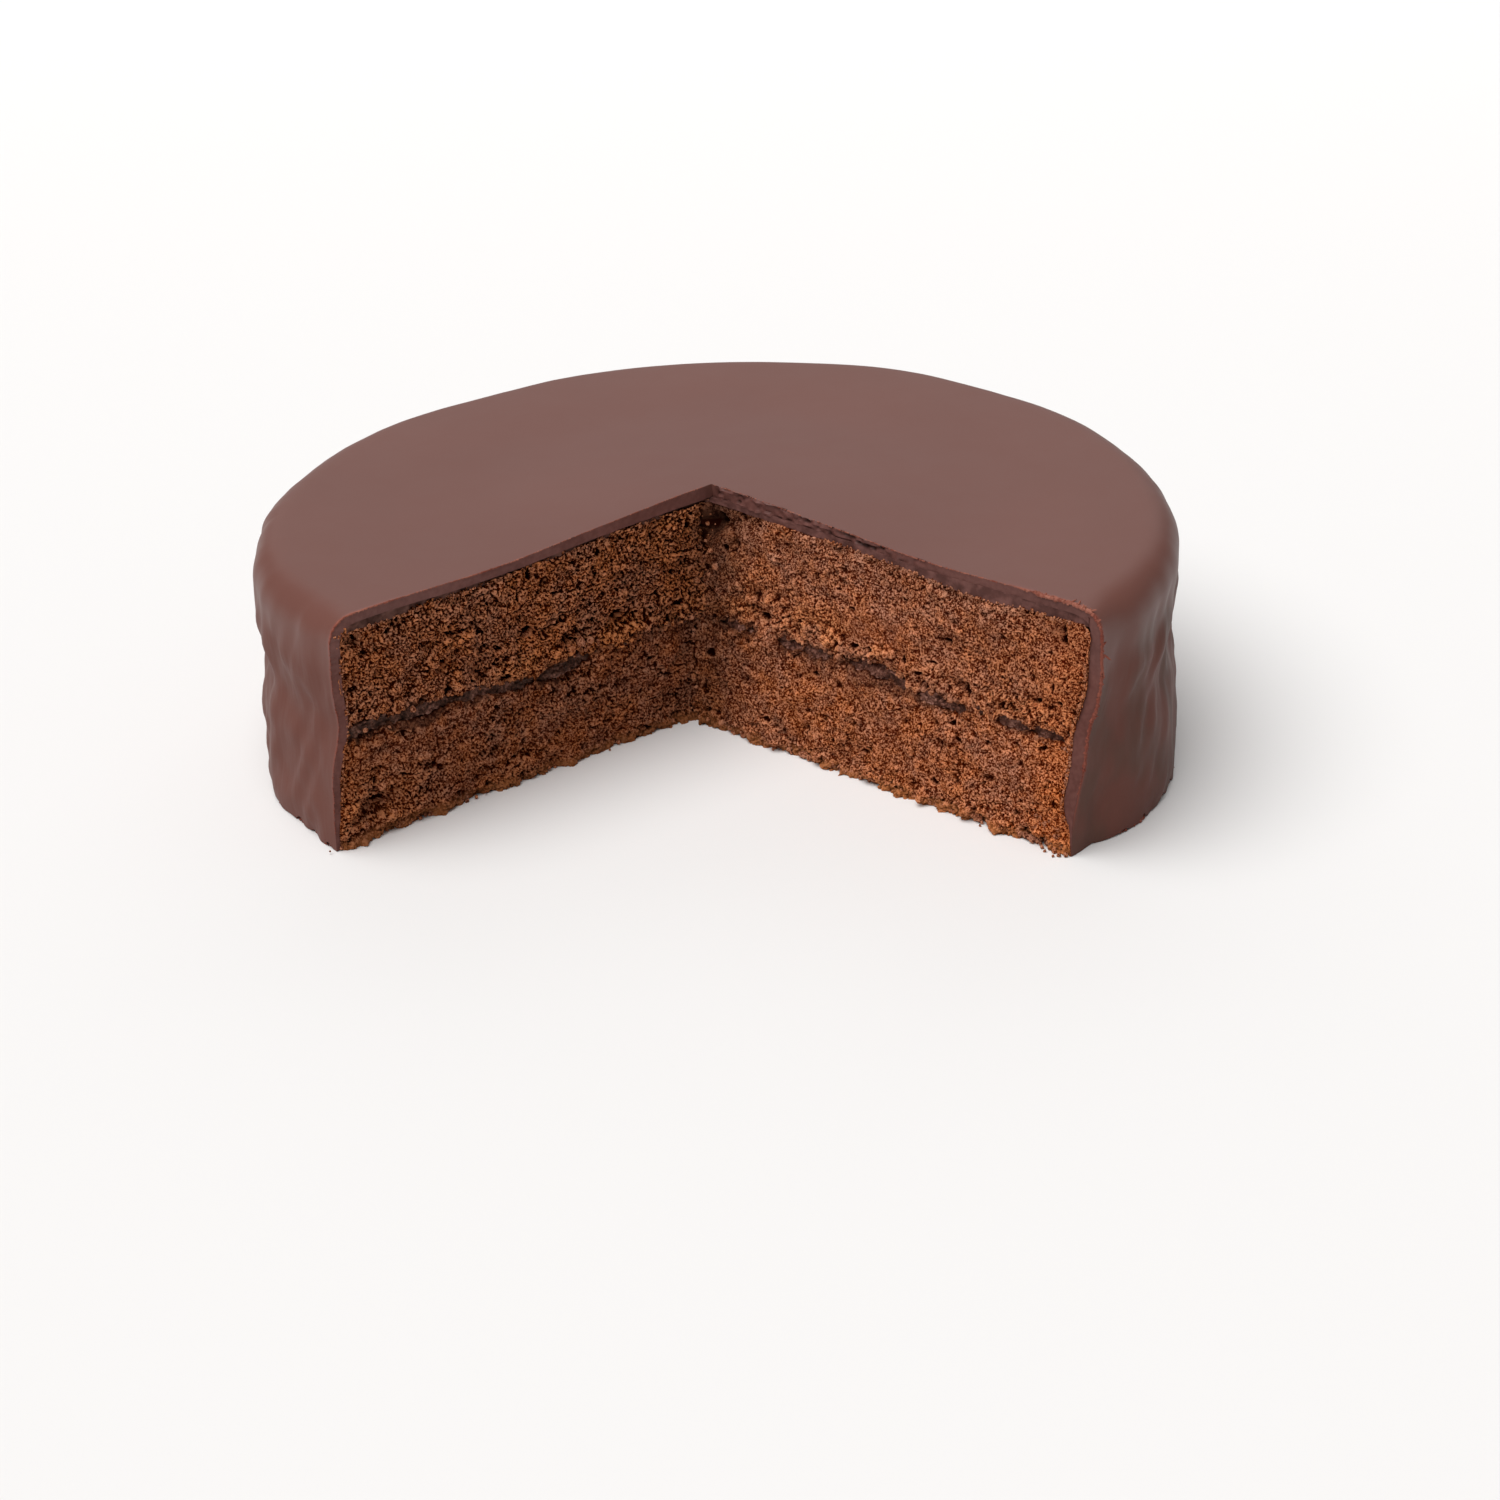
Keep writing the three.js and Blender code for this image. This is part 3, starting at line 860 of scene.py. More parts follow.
# Holes and lumps with a place of their own: (along, up, half width, half height, depth or height)
tornHoles = {
    "left": [
        (111, 57, 1.0, 1.0, 2.2), (109, 55.4, 0.7, 1.0, 2.0), (82, 40.6, 1.2, 0.8, 2.2),
        (72.6, 35.6, 1.1, 0.8, 2.4), (73.6, 33, 0.8, 0.7, 1.8), (67, 40, 1.0, 0.8, 1.8),
        (57, 41.6, 2.0, 0.7, 2.0), (28, 37.4, 2.2, 0.8, 2.4), (64, 31.6, 2.2, 0.8, 1.8),
        (42, 30.6, 3.0, 0.9, 2.0), (33, 31.2, 2.0, 0.8, 2.0), (12, 29, 1.2, 1.2, 1.8),
        (75.5, 58, 1.6, 0.7, 1.6), (58, 57.4, 1.0, 1.4, 2.2), (37, 57.2, 1.6, 1.0, 1.8),
        (8, 57, 1.0, 1.8, 2.2), (9, 47.5, 1.6, 0.7, 1.6), (24, 41, 2.2, 0.6, 1.5),
        (8, 36, 1.8, 0.7, 1.6), (99, 9.5, 1.6, 0.7, 1.8), (113, 53.5, 0.8, 1.0, 1.8),
        (50, 50, 1.2, 0.5, 1.2), (86, 47, 0.9, 0.6, 1.2),
    ],
    "right": [
        (113.6, 57.5, 0.7, 1.2, 2.4), (114.4, 54.8, 0.8, 1.4, 2.4), (109.3, 37.4, 0.9, 0.8, 2.2),
        (115.8, 39, 0.7, 0.8, 1.8), (113.6, 43, 0.4, 1.8, 1.2), (99, 41, 0.6, 0.6, 1.4),
        (83.5, 35.6, 1.5, 0.45, 2.4), (86, 35.3, 1.3, 0.5, 2.6), (88, 33.8, 0.7, 0.8, 2.4),
        (52.5, 36.2, 1.8, 0.6, 1.8), (57.5, 36.4, 1.4, 0.6, 1.8), (60, 35, 1.0, 0.7, 1.8),
        (68.4, 36.6, 1.0, 0.9, 1.6), (68.5, 33.4, 0.9, 0.7, 1.8), (74, 35.4, 1.4, 0.6, 1.8),
        (75.5, 32.2, 1.3, 0.7, 1.8), (92, 33, 1.4, 0.8, 1.8), (94, 31.6, 1.0, 0.6, 1.6),
        (80.4, 44.6, 1.1, 0.7, 1.8), (77.5, 38.6, 1.4, 0.5, 1.3), (20.6, 35, 1.1, 0.8, 2.2),
        (39.4, 23.3, 1.1, 0.6, 1.8), (30, 17.8, 0.6, 0.4, 1.2), (81, 6.6, 1.3, 0.9, 2.2),
        (85, 24, 1.2, 0.6, 1.4), (97, 22.6, 1.0, 0.6, 1.4), (45, 32.6, 1.2, 0.7, 1.8),
        (34, 31.8, 1.6, 0.6, 1.6), (63, 32, 2.6, 0.8, 2.0), (26, 7.5, 1.2, 0.7, 1.4),
        (60, 9, 1.5, 0.7, 1.4), (3, 57, 1.6, 1.8, 2.4), (6, 50, 1.4, 0.8, 1.6), (5, 20, 1.6, 1.2, 1.8),
        (4, 10, 1.6, 2.0, 1.8), (117, 12, 0.8, 1.2, 1.2), (112, 26, 1.0, 0.7, 1.4),
    ],
}
tornLumps = {
    "left": [
        (38, 26.6, 1.2, 0.9, 1.3), (34, 28.6, 1.6, 1.0, 1.2), (30, 33.6, 2.0, 1.2, 1.3),
        (24, 34.6, 2.4, 1.2, 1.4), (17, 34, 2.2, 1.1, 1.2), (10, 32, 2.0, 1.2, 1.2),
        (62, 36, 2.0, 1.5, 1.3), (66, 36.8, 1.3, 1.1, 1.0), (57, 34.4, 1.8, 1.0, 1.1),
        (85, 41.6, 1.5, 1.0, 1.2), (79, 34.4, 1.5, 1.0, 0.9), (48, 34, 2.2, 1.0, 1.1),
        (105, 5, 1.3, 1.1, 1.3), (102, 7.6, 1.4, 1.0, 1.1), (99, 5.4, 1.3, 0.9, 1.1),
        (108, 11, 1.2, 0.9, 0.9),
    ],
    "right": [
        (44, 35.6, 2.0, 1.3, 1.6), (47.6, 37, 1.4, 1.0, 1.2), (54, 34.2, 2.2, 1.1, 1.6),
        (64, 37.4, 1.8, 1.2, 1.5), (71.4, 33.4, 1.3, 1.1, 1.5), (78, 34.4, 1.8, 1.2, 1.5),
        (85.4, 33.7, 1.4, 0.8, 1.5), (91, 36.4, 1.6, 1.0, 1.1), (37, 37, 1.8, 1.2, 1.2),
        (29, 38, 2.0, 1.2, 1.2), (24, 41, 1.8, 1.2, 1.0), (17, 38.6, 2.0, 1.2, 1.2),
        (12, 41, 1.8, 1.3, 1.2), (18, 44.6, 2.0, 1.2, 1.0), (75, 58, 1.0, 1.1, 1.1),
        (48, 33.4, 1.3, 0.8, 1.3), (102, 32.6, 1.6, 0.9, 1.0), (108, 33.4, 1.4, 0.9, 1.0),
        (60, 3, 2.2, 1.6, 1.4), (44, 2.6, 2.0, 1.4, 1.3), (78, 2.8, 2.2, 1.5, 1.4),
        (92, 3, 2.0, 1.4, 1.3), (104, 2.6, 1.8, 1.4, 1.3), (30, 2.4, 1.8, 1.2, 1.2),
        (113, 3, 1.8, 1.3, 1.3), (70, 3.4, 1.2, 1.0, 1.0), (86, 2.2, 1.3, 1.1, 1.2),
    ],
}
tornOutline = {
    "windingSize": 0.5,
    "windingCells": (1.3, 1.3),
    "risingSize": 0.4,
    "risingCells": (1.2, 1.2),
    "holeEdge": (0.5, 1.6),
}


def cellNoise(along, up, cells, key):
    return gridNoise(along / cells[0], up / cells[1], key)


def tornByHand(side, along, up):
    o = tornOutline
    winding = along + o["windingSize"] * cellNoise(along, up, o["windingCells"], 66)
    rising = up + o["risingSize"] * cellNoise(along, up, o["risingCells"], 67)
    depth = np.zeros(len(along))

    def distanceTo(place, height, wide, tall):
        return ((winding - place) / wide) ** 2 + ((rising - height) / tall) ** 2

    for name, sign in faceSign.items():
        here = side == sign
        for *outline, deep in tornHoles[name]:
            hole = deep * (1 - smoothStep(*o["holeEdge"], distanceTo(*outline)))
            depth = depth + np.where(here, hole, 0)
        for *outline, high in tornLumps[name]:
            lump = high * np.sqrt(np.maximum(1 - distanceTo(*outline), 0))
            depth = depth - np.where(here, lump, 0)
    return depth


# Golden crumb, as (face, area, climb along the face, share of the wander, strength)
golden = {
    "spots": [
        ("right", (8, 52, 4, 32.5, 46, 2.5), 0, 0.5, 1.0),
        ("right", (52, 112, 5, 31.5, 38, 1.5), 0, 0.5, 0.7),
        ("left", (4, 70, 5, 30, 37, 2), 0.03, 0.5, 0.64),
        ("left", (94, 113, 3, 2, 12, 3), 0, 0, 0.64),
    ],
    "wander": 3,
    "wanderCells": (9, 6),
    "patchCells": (5, 4),
    "patchRange": (0.2, 0.85),
}


def goldenAt(along, up):
    distance = np.abs(along)
    wander = golden["wander"] * cellNoise(along, up, golden["wanderCells"], 68)
    total = 0
    for face, area, climb, share, strength in golden["spots"]:
        spot = strength * areaAt(area, distance + wander, up + climb * distance + share * wander)
        total = np.maximum(total, np.where((along > 0) == (face == "right"), spot, 0))
    patch = smoothStep(-0.5, 0.5, cellNoise(along, up, golden["patchCells"], 69))
    return total * mixed(*golden["patchRange"], patch)


# Pores: small pits at random places on both faces, from pinholes to lentil size
pores = {
    "seed": 11,
    "number": 330,
    "smallest": 0.3,
    "largest": 1.5,
    "deepest": 2.2,
    "width": (0.8, 1.6),
    "depth": (1.0, 2.2),
    "farthest": 3,
}
faceReach = 121  # the faces' length that random places are drawn from

# Lumps of crumb that stand out of the faces, most of them where the layers were torn off the jam
lumps = {
    "seed": 17,
    "byJam": 190,
    "byFoot": 110,
    "elsewhere": 170,
    "smallest": 0.8,
    "largest": 2.5,
    "highest": 1.3,
    # how far from the jam they reach in the lower and in the upper layer, and how they crowd there
    "underJam": (5, 1.6),
    "aboveJam": (7, 1.4),
    "footBand": 2.5,
    "width": (0.7, 1.4),
    "tallness": (0.6, 1.0),
    "height": (0.3, 0.6),
    "farthest": (6, 5),
}


def poreDepth(side, along, up, low, high):
    p = pores
    draw = random.Random(p["seed"] + int(low))
    depth = np.zeros(len(along))
    for _ in range(p["number"]):
        sign = draw.choice((-1, 1))
        placeAlong, placeUp = draw.uniform(0, faceReach), draw.uniform(low, high)
        size = p["smallest"] + (p["largest"] - p["smallest"]) * draw.random() ** 3
        wide = size * draw.uniform(*p["width"])
        deep = min(p["deepest"], size * draw.uniform(*p["depth"]))
        close = (np.abs(along - placeAlong) < p["farthest"]) & (np.abs(up - placeUp) < p["farthest"])
        near = np.nonzero((side == sign) & close)[0]
        pit = deep * bell(along[near] - placeAlong, wide) * bell(up[near] - placeUp, size)
        depth[near] = np.maximum(depth[near], pit)
    return depth


def lumpHeight(side, along, up, low, high, lower):
    p = lumps
    draw = random.Random(p["seed"] + int(low))
    height = np.zeros(len(along))
    number = p["byJam"] + p["elsewhere"] + (p["byFoot"] if lower else 0)
    for index in range(number):
        sign = draw.choice((-1, 1))
        placeAlong, placeUp = draw.uniform(0, faceReach), draw.uniform(low, high)
        if index < p["byJam"]:
            band, crowding = p["underJam" if lower else "aboveJam"]
            fromJam = band * draw.random() ** crowding
            placeUp = high - fromJam if lower else low + fromJam
        elif index >= p["byJam"] + p["elsewhere"]:
            placeUp = p["footBand"] * draw.random()
        size = mixed(p["smallest"], p["largest"], draw.random() ** 1.6)
        wide, tall = size * draw.uniform(*p["width"]), size * draw.uniform(*p["tallness"])
        close = (np.abs(along - placeAlong) < p["farthest"][0]) & (np.abs(up - placeUp) < p["farthest"][1])
        near = np.nonzero((side == sign) & close)[0]
        inside = 1 - ((along[near] - placeAlong) / wide) ** 2 - ((up[near] - placeUp) / tall) ** 2
        dome = min(p["highest"], size * draw.uniform(*p["height"])) * np.sqrt(np.maximum(inside, 0))
        height[near] = np.maximum(height[near], dome)
    return height


# Winding cracks between the lumps of crumb, short ones and broad ones, in some places only
crackKinds = [
    {"depth": 1.0, "cells": (2.9, 2.1), "wobble": 0.35, "wobbleCells": (1.1, 0.9), "edge": (0.02, 0.24),
     "placeCells": (8, 6), "places": (0.0, 0.45), "keys": (71, 72, 75)},
    {"depth": 1.3, "cells": (6.5, 4.2), "wobble": 0.3, "wobbleCells": (1.7, 1.3), "edge": (0.01, 0.12),
     "placeCells": (10, 5), "places": (0.1, 0.5), "keys": (73, 74, 76)},
]


def crevices(along, up):
    total = 0
    for k in crackKinds:
        pathKey, wobbleKey, placeKey = k["keys"]
        path = cellNoise(along, up, k["cells"], pathKey)
        path = path + k["wobble"] * cellNoise(along, up, k["wobbleCells"], wobbleKey)
        here = smoothStep(*k["places"], cellNoise(along, up, k["placeCells"], placeKey))
        total = total + k["depth"] * here * (1 - smoothStep(*k["edge"], np.abs(path)))
    return total


# Past the end of the coat the sponge reaches up to the glaze, but for the right-hand corner, where
# the coat runs on
def spongeTopAt(x, y):
    out = np.hypot(x, y) - rimRadius(np.arctan2(y, x))
    reaching = smoothStep(*layers["spongeRises"], out) * np.where(x > 0, 0, 1)
    return mixed(coatUnderside(x, y), glazeUnderside(x, y), reaching) - layers["touch"]


def coatRadius(angle, z):
    inset = layers["coatInset"] * np.where(np.cos(angle) > 0, layers["insetOnRight"], 1.0)
    return coreRadius(angle, np.minimum(z, layers["coatWallTop"])) - inset


# Sponge layers, and the heights between which their pores and lumps lie
spongeSettings = {
    "steps": (72, 6, 9),
    "fineCuts": 10,
    "lowerSpan": (0, 29),
    "upperSpan": (31, 62),
    "layers": [
        ("spongeTop", "sponge_upper", fillingTop, spongeTopAt),
        ("spongeBottom", "sponge_lower", lambda x, y: 0 * x, fillingUnderside),
    ],
}
# How their cut faces are torn. Noises are (size, cell, key), and aboveJam is an area.
tearing = {
    "leftCoarse": 0.9,
    "rightCoarse": 0.3,
    "rightTorn": 0.8,
    "poresAtLeast": 0.75,
    "aboveJam": (20, 112, 5, 31, 38, 2),
    "footTorn": 5,
    "wholeFrom": (114.6, 116),
    "wholeAbove": (54.5, 57),
    "wholeShare": 0.9,
    "forward": 0.8,
    "shoulder": 5.8,
    "cornerFrom": 0.982,
    "cornerOnLeft": 0.5,
    "cornerBehind": 0.3,
    "edgeWobble": [(0.9, 5, 81), (0.5, 2, 82)],
    "edgeSpread": 5,
    "edgeHollow": (1.6, 2.6, 55, 5),
    "footClumps": [(1.3, 3.4, 63), (0.9, 1.5, 64)],
    "clumpsOnLeft": 0.6,
    "clumpHeight": 2.4,
    "coverJam": 1.9,
    "rightUncovered": 0.85,
    "raggedRim": [(0.65, 1.2, 61), (0.65, 3.6, 62)],
    "rimFrom": 0.75,
    "reachUp": (0.8, 92, 98, 0.85),
    "calmEdges": 0.012,
}


# Shapes the two faces of a sponge layer
def tearSponge(piece, lay, lower, highAt):
    t = tearing
    side, along, up, front = lay["side"], lay["along"], lay["z"], lay["front"]
    low, high = spongeSettings["lowerSpan" if lower else "upperSpan"]
    depth = tornFaces(lay)
    # the right face broke more cleanly, but for the crumb above the jam and at the foot
    torn = np.maximum(areaAt(t["aboveJam"], along, up), bell(up, t["footTorn"]))
    coarse = np.where(side < 0, t["leftCoarse"], np.maximum(t["rightCoarse"], t["rightTorn"] * torn))
    depth = depth + np.maximum(coarse, t["poresAtLeast"]) * poreDepth(side, along, up, low, high)
    depth = depth + coarse * crevices(along * side, up)
    depth = depth - lumpHeight(side, along, up, low, high, lower) + tornByHand(side, along, up)
    # it is whole under the shoulder of the glaze on the right
    whole = (side > 0) * smoothStep(*t["wholeFrom"], along) * smoothStep(*t["wholeAbove"], up)
    depth = depth * (1 - t["wholeShare"] * whole) + cornerEase(side, along, up)
    # it comes forward again where no jam shows
    size, spread = crumb["fillingRecess"]
    recess = t["forward"] * size * bell(up - fillingMiddle(lay["x"], lay["y"]), spread)
    depth = depth - recess * (1 - jamShowing(side, along))
    # the corner under the squarer shoulder is filled out, a little behind the cut
    if not lower:
        shoulder = t["shoulder"]
        rounding = np.clip((up - highAt(lay["x"], lay["y"]) + shoulder) / shoulder, 0, 1)
        atCorner = smoothStep(t["cornerFrom"], 1.0, np.abs(lay["across"])) * front
        fuller = np.sin(2 * np.arccos(rounding)) * atCorner * np.where(side < 0, t["cornerOnLeft"], 1.0)
        lay["x"] = lay["x"] + fuller * np.cos(lay["angle"])
        lay["y"] = lay["y"] + fuller * np.sin(lay["angle"])
        depth = depth + t["cornerBehind"] * fuller
    # the inner edge of the cut wanders and is hollow near its top
    lay["x"] = lay["x"] + wavering(t["edgeWobble"], up, 0) * bell(along, t["edgeSpread"]) * front
    deep, spread, middle, tall = t["edgeHollow"]
    depth = depth + deep * bell(along, spread) * bell(up - middle, tall)
    # the foot is ragged, with clumps and nicks
    clumps = wavering(t["footClumps"], along, side)
    depth = depth + np.where(side < 0, t["clumpsOnLeft"], 1.0) * clumps * bell(up, t["clumpHeight"])
    # where no jam shows, the crumb hangs over it
    covered = (1 - np.where(side < 0, 1.0, t["rightUncovered"]) * jamShowing(side, along)) * front
    toJam = lay["rise"] if lower else 1 - lay["rise"]
    shift = t["coverJam"] * covered + wavering(t["raggedRim"], along, side) * front
    shift = shift * smoothStep(t["rimFrom"], 1.0, toJam)
    lay["z"] = lay["z"] + (shift if lower else -shift)
    # under the glaze on the left it reaches up over the thin coat
    if not lower:
        height, whole, gone, fromRise = t["reachUp"]
        reaching = height * (1 - smoothStep(whole, gone, along)) * (side < 0) * front
        lay["z"] = lay["z"] + reaching * smoothStep(fromRise, 1.0, lay["rise"])
    note(piece, "flat", (placed(lay["x"], lay["y"], lay["z"]) * outwardAt(lay)).sum(axis=1))
    pushIn(lay, depth * smoothStep(0, t["calmEdges"], 1 - np.abs(lay["across"])))
    movePoints(piece, placed(lay["x"], lay["y"], np.maximum(lay["z"], 0)))
    note(piece, "along", along * side)
    note(piece, "up", up)
    note(piece, "onCut", front)
    noteOutward(piece, lay)
    mergeDoubles(piece)


# Fine relief of the faces. Passes are (kind, cell, strength, middle, more of the texture's settings).
crumbRelief = {
    "passes": [
        ("CLOUDS", 4.5, 1.7, 0.5, {"noise_depth": 1}),
        ("CLOUDS", 1.6, 1.6, 0.5, {"noise_depth": 1}),
        ("VORONOI", 0.95, -0.6, 0.4, {}),
        ("CLOUDS", 0.7, 1.25, 0.5, {"noise_depth": 1}),
        ("CLOUDS", 0.4, 1.0, 0.5, {"noise_depth": 0}),
    ],
    "leftRange": (0.74, 1.0),
    "rightRange": (0.52, 0.76),
    "upperFrom": (29, 33),
    "tornBand": (31, 38, 2),
    "footHeight": 4,
    "calmNoises": [(1.0, (13, 8), 91), (0.4, (4, 3), 92)],
    "calmRange": (0.55, 1.0),
    "hollowRounds": 12,
    "hollowDepth": 1.2,
    "crestRounds": 2,
    "crestDepth": 0.34,
}


def roughenSponge(piece):
    r = crumbRelief
    onCut, along, up = (noted(piece, name) for name in ("onCut", "along", "up"))
    patches = sum(size * cellNoise(along, up, cells, key) for size, cells, key in r["calmNoises"])
    calm = smoothStep(-0.35, 0.35, patches)
    finer = np.maximum(softBox(up, *r["tornBand"]), bell(up, r["footHeight"]))
    onLeft = mixed(*r["leftRange"], smoothStep(*r["upperFrom"], up))
    torn = np.where(along < 0, onLeft, mixed(*r["rightRange"], finer))
    weigh(piece, "cutFace", onCut * torn * mixed(*r["calmRange"], calm))
    for kind, cell, strength, middle, more in r["passes"]:
        roughen(piece, "cutFace", kind, cell, strength, middle, **more)
    places = pointsOf(piece)
    places[:, 2] = np.maximum(places[:, 2], 0)
    movePoints(piece, places)
    height = (places * notedOutward(piece)).sum(axis=1) - noted(piece, "flat")
    markHollows(piece, "hollow", height, r["hollowRounds"], r["hollowDepth"])
    markHollows(piece, "crest", height, r["crestRounds"], r["crestDepth"])


# What the crumb's material reads at each point. Lists of two are for the lower and the upper sponge.
crumbNotes = {
    "corner": (80, 125, 4, 12, 17),
    "contrastLeft": [(2.0, 3.0), (3.1, 3.1)],
    "contrastRight": 1.4,
    "crestElsewhere": 0.4,
    "skinFrom": (104, 118),
    "skinWander": 4,
    "skinLeft": 0.5,
    "skinRight": 0.6,
    "tip": (1, 3.4, 55, 4.5),
    "tipHollow": 0.8,
    # tone along the faces, along negative on the left: darker towards the cut's inner edge, a painted shade
    # of the narrow corner, and lower over the left face
    "toneAt": [-120, -20, 0, 6, 20, 60, 100, 124],
    "tones": [
        [0.88, 0.80, 0.71, 0.54, 0.95, 1.06, 1.19, 1.22],
        [0.78, 0.71, 0.62, 0.47, 0.97, 1.08, 1.00, 1.05],
    ],
    "toneMiddle": 0.98,
    "reliefLeft": 0.42,
    "reliefRight": 0.20,
    "richness": [(1.035, 1.035), (1.06, 1.01)],
    "grainyLeft": [1.2, 1.95],
    "grainyRight": 1.6,
    "smeared": (51, 69, 3, 37, 47, 2),
    "smearing": 0.7,
    "crustBand": (1.0, 3.4),
    "crustWander": 0.8,
    "crustShare": 0.7,
}


def noteCrumb(piece, lower):
    c = crumbNotes
    layer = 0 if lower else 1
    onCut, along, up = (noted(piece, name) for name in ("onCut", "along", "up"))
    onLeft, upper = along < 0, up > 31
    # the painted relief shading is stronger on the left face, and on its lower layer most near the outer
    # corner by the foot
    low, high, soft, full, gone = c["corner"]
    corner = softBox(-along, low, high, soft) * (1 - smoothStep(full, gone, up))
    contrast = np.where(upper, mixed(*c["contrastLeft"][1], corner), mixed(*c["contrastLeft"][0], corner))
    contrast = np.where(onLeft, contrast, c["contrastRight"])
    crest = 0.5 + contrast * (0.5 - noted(piece, "crest"))
    note(piece, "crest", np.where(onCut > 0.5, crest, c["crestElsewhere"]))
    # orange towards the glaze
    nearSkin = smoothStep(*c["skinFrom"], np.abs(along) + c["skinWander"] * gridNoise(up / 7, along / 9, 9))
    note(piece, "nearSkin", nearSkin * np.where(along > 0, c["skinRight"], c["skinLeft"]) * onCut)
    # dark and hollow in patches at the top of the cut's inner edge, a painted shade there through the pit and
    # stain colours
    place, wide, middle, tall = c["tip"]
    tip = bell(along - place, wide) * bell(up - middle, tall)
    patchy = smoothStep(-0.5, 0.3, gridNoise(along / 1.1, up / 1.1, 77))
    note(piece, "hollow", np.maximum(noted(piece, "hollow"), c["tipHollow"] * tip * patchy * onCut))
    note(piece, "stain", np.maximum(stainAt(np.sign(along + 1e-6), np.abs(along), up), tip) * onCut)
    # crests are paler and pits darker, a painted highlight and shade of the relief, most of all high on the
    # left
    relief = np.clip(2 * (noted(piece, "crest") - 0.5), -1, 1)
    onLeftRelief = mixed(0.0, c["reliefLeft"], smoothStep(*crumbRelief["upperFrom"], up))
    relief = relief * np.where(onLeft, onLeftRelief, c["reliefRight"])
    note(piece, "tone", np.interp(along, c["toneAt"], c["tones"][layer]) * (c["toneMiddle"] + relief))
    note(piece, "rich", np.where(onLeft, *c["richness"][layer]))
    note(piece, "golden", goldenAt(along, up) * onCut)
    # the grain's contrast is raised on the left face, most high up, a painted shade of its relief
    grainy = np.where(onLeft, np.where(upper, c["grainyLeft"][1], c["grainyLeft"][0]), c["grainyRight"])
    note(piece, "grainy", grainy - c["smearing"] * areaAt(c["smeared"], along, up))
    edge = 1 - smoothStep(*c["crustBand"], up + c["crustWander"] * gridNoise(along / 4, up / 3, 8))
    note(piece, "crust", edge * c["crustShare"] * onCut if lower else 0 * onCut)


# Gives a piece its material, its body and its place in the part
def finishPiece(piece, node, material, smoothAngle):
    piece.data.materials.append(material)
    makeActive(piece)
    bpy.ops.object.shade_smooth_by_angle(angle=math.radians(smoothAngle))
    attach(piece, "root")
    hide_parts(node)
    print(piece.name, len(piece.data.polygons), "faces")


def makeSponge(name, node, lowAt, highAt, material):
    s = spongeSettings
    lower = node == "sponge_lower"
    piece, lay = layBlock(name, s["steps"], s["fineCuts"], lowAt, highAt, coreRadius)
    tearSponge(piece, lay, lower, highAt)
    roughenSponge(piece)
    noteCrumb(piece, lower)
    finishPiece(piece, node, material, 50)


# Jam between the sponges, and the thin coat under the glaze. Passes are as for the crumb.
jamSettings = {
    "steps": (72, 5, 1),
    "recess": 0.1,
    "crest": (2, -0.4),
    "layer": {
        "fineCuts": 10,
        "roughOnRight": 1.0,
        "passes": [
            ("CLOUDS", 1.8, 1.3, 0.5, {"noise_depth": 2}),
            ("VORONOI", 1.4, -0.6, 0.4, {}),
            ("CLOUDS", 0.7, 0.7, 0.5, {"noise_depth": 1}),
        ],
    },
    "wavesLeft": 0.8,
    "wavesRight": 0.6,
    "hidden": 0.45,
    "hiddenVaries": 0.6,
    "cavity": 1.7,
    "cavityRise": (0.35, 0.95),
    "cavityRange": (-0.35, 0.25),
    "cavityEnds": (90, 98),
    "cavityOnLeft": 0.4,
    "coat": {
        "fineCuts": 5,
        "roughOnRight": 0.45,
        "passes": [("CLOUDS", 1.8, 1.3, 0.5, {"noise_depth": 2})],
    },
    "coatWaves": 0.15,
    "coatOnLeft": 0.6,
    "coatOnLeftEnds": 95,
    "coatUnderCorner": (0.45, 110.5, 113),
    "coatForward": 0.1,
}


# The layer's upper edge lies deep under the crumb in places
def layerRecess(lay):
    j = jamSettings
    side, along, waves = lay["side"], lay["along"], tornFaces(lay)
    hidden = j["hidden"] + j["hiddenVaries"] * gridNoise(along / 5, lay["z"] / 3, 65)
    places = smoothStep(*j["cavityRange"], gridNoise(along / 4.5, side, 70))
    cavity = j["cavity"] * smoothStep(*j["cavityRise"], lay["rise"]) * places
    cavity = cavity * (1 - smoothStep(*j["cavityEnds"], along))
    onLeft = j["wavesLeft"] * waves + j["recess"] + j["cavityOnLeft"] * cavity
    return np.where(side > 0, j["wavesRight"] * waves + hidden + cavity, onLeft)


def coatRecess(lay):
    j = jamSettings
    side, along = lay["side"], lay["along"]
    depth, start, full = j["coatUnderCorner"]
    onRight = cornerEase(side, along, lay["z"]) + depth * smoothStep(start, full, along) - j["coatForward"]
    onLeft = np.where(along < j["coatOnLeftEnds"], j["coatOnLeft"], j["recess"])
    return j["coatWaves"] * tornFaces(lay) + np.where(side < 0, onLeft, onRight)


def makeJam(name, node, settings, lowAt, highAt, radiusAt, recessOf, material):
    piece, lay = layBlock(name, jamSettings["steps"], settings["fineCuts"], lowAt, highAt, radiusAt)
    pushIn(lay, recessOf(lay))
    movePoints(piece, placed(lay["x"], lay["y"], lay["z"]))
    note(piece, "onCut", lay["front"])
    note(piece, "onRight", lay["side"] > 0)
    noteOutward(piece, lay)
    mergeDoubles(piece)
    rough = np.where(noted(piece, "onRight") > 0.5, settings["roughOnRight"], 1.0)
    weigh(piece, "cutFace", noted(piece, "onCut") * rough)
    for kind, cell, strength, middle, more in settings["passes"]:
        roughen(piece, "cutFace", kind, cell, strength, middle, **more)
    height = (pointsOf(piece) * notedOutward(piece)).sum(axis=1)
    markHollows(piece, "crest", height, *jamSettings["crest"])
    finishPiece(piece, node, material, 60)


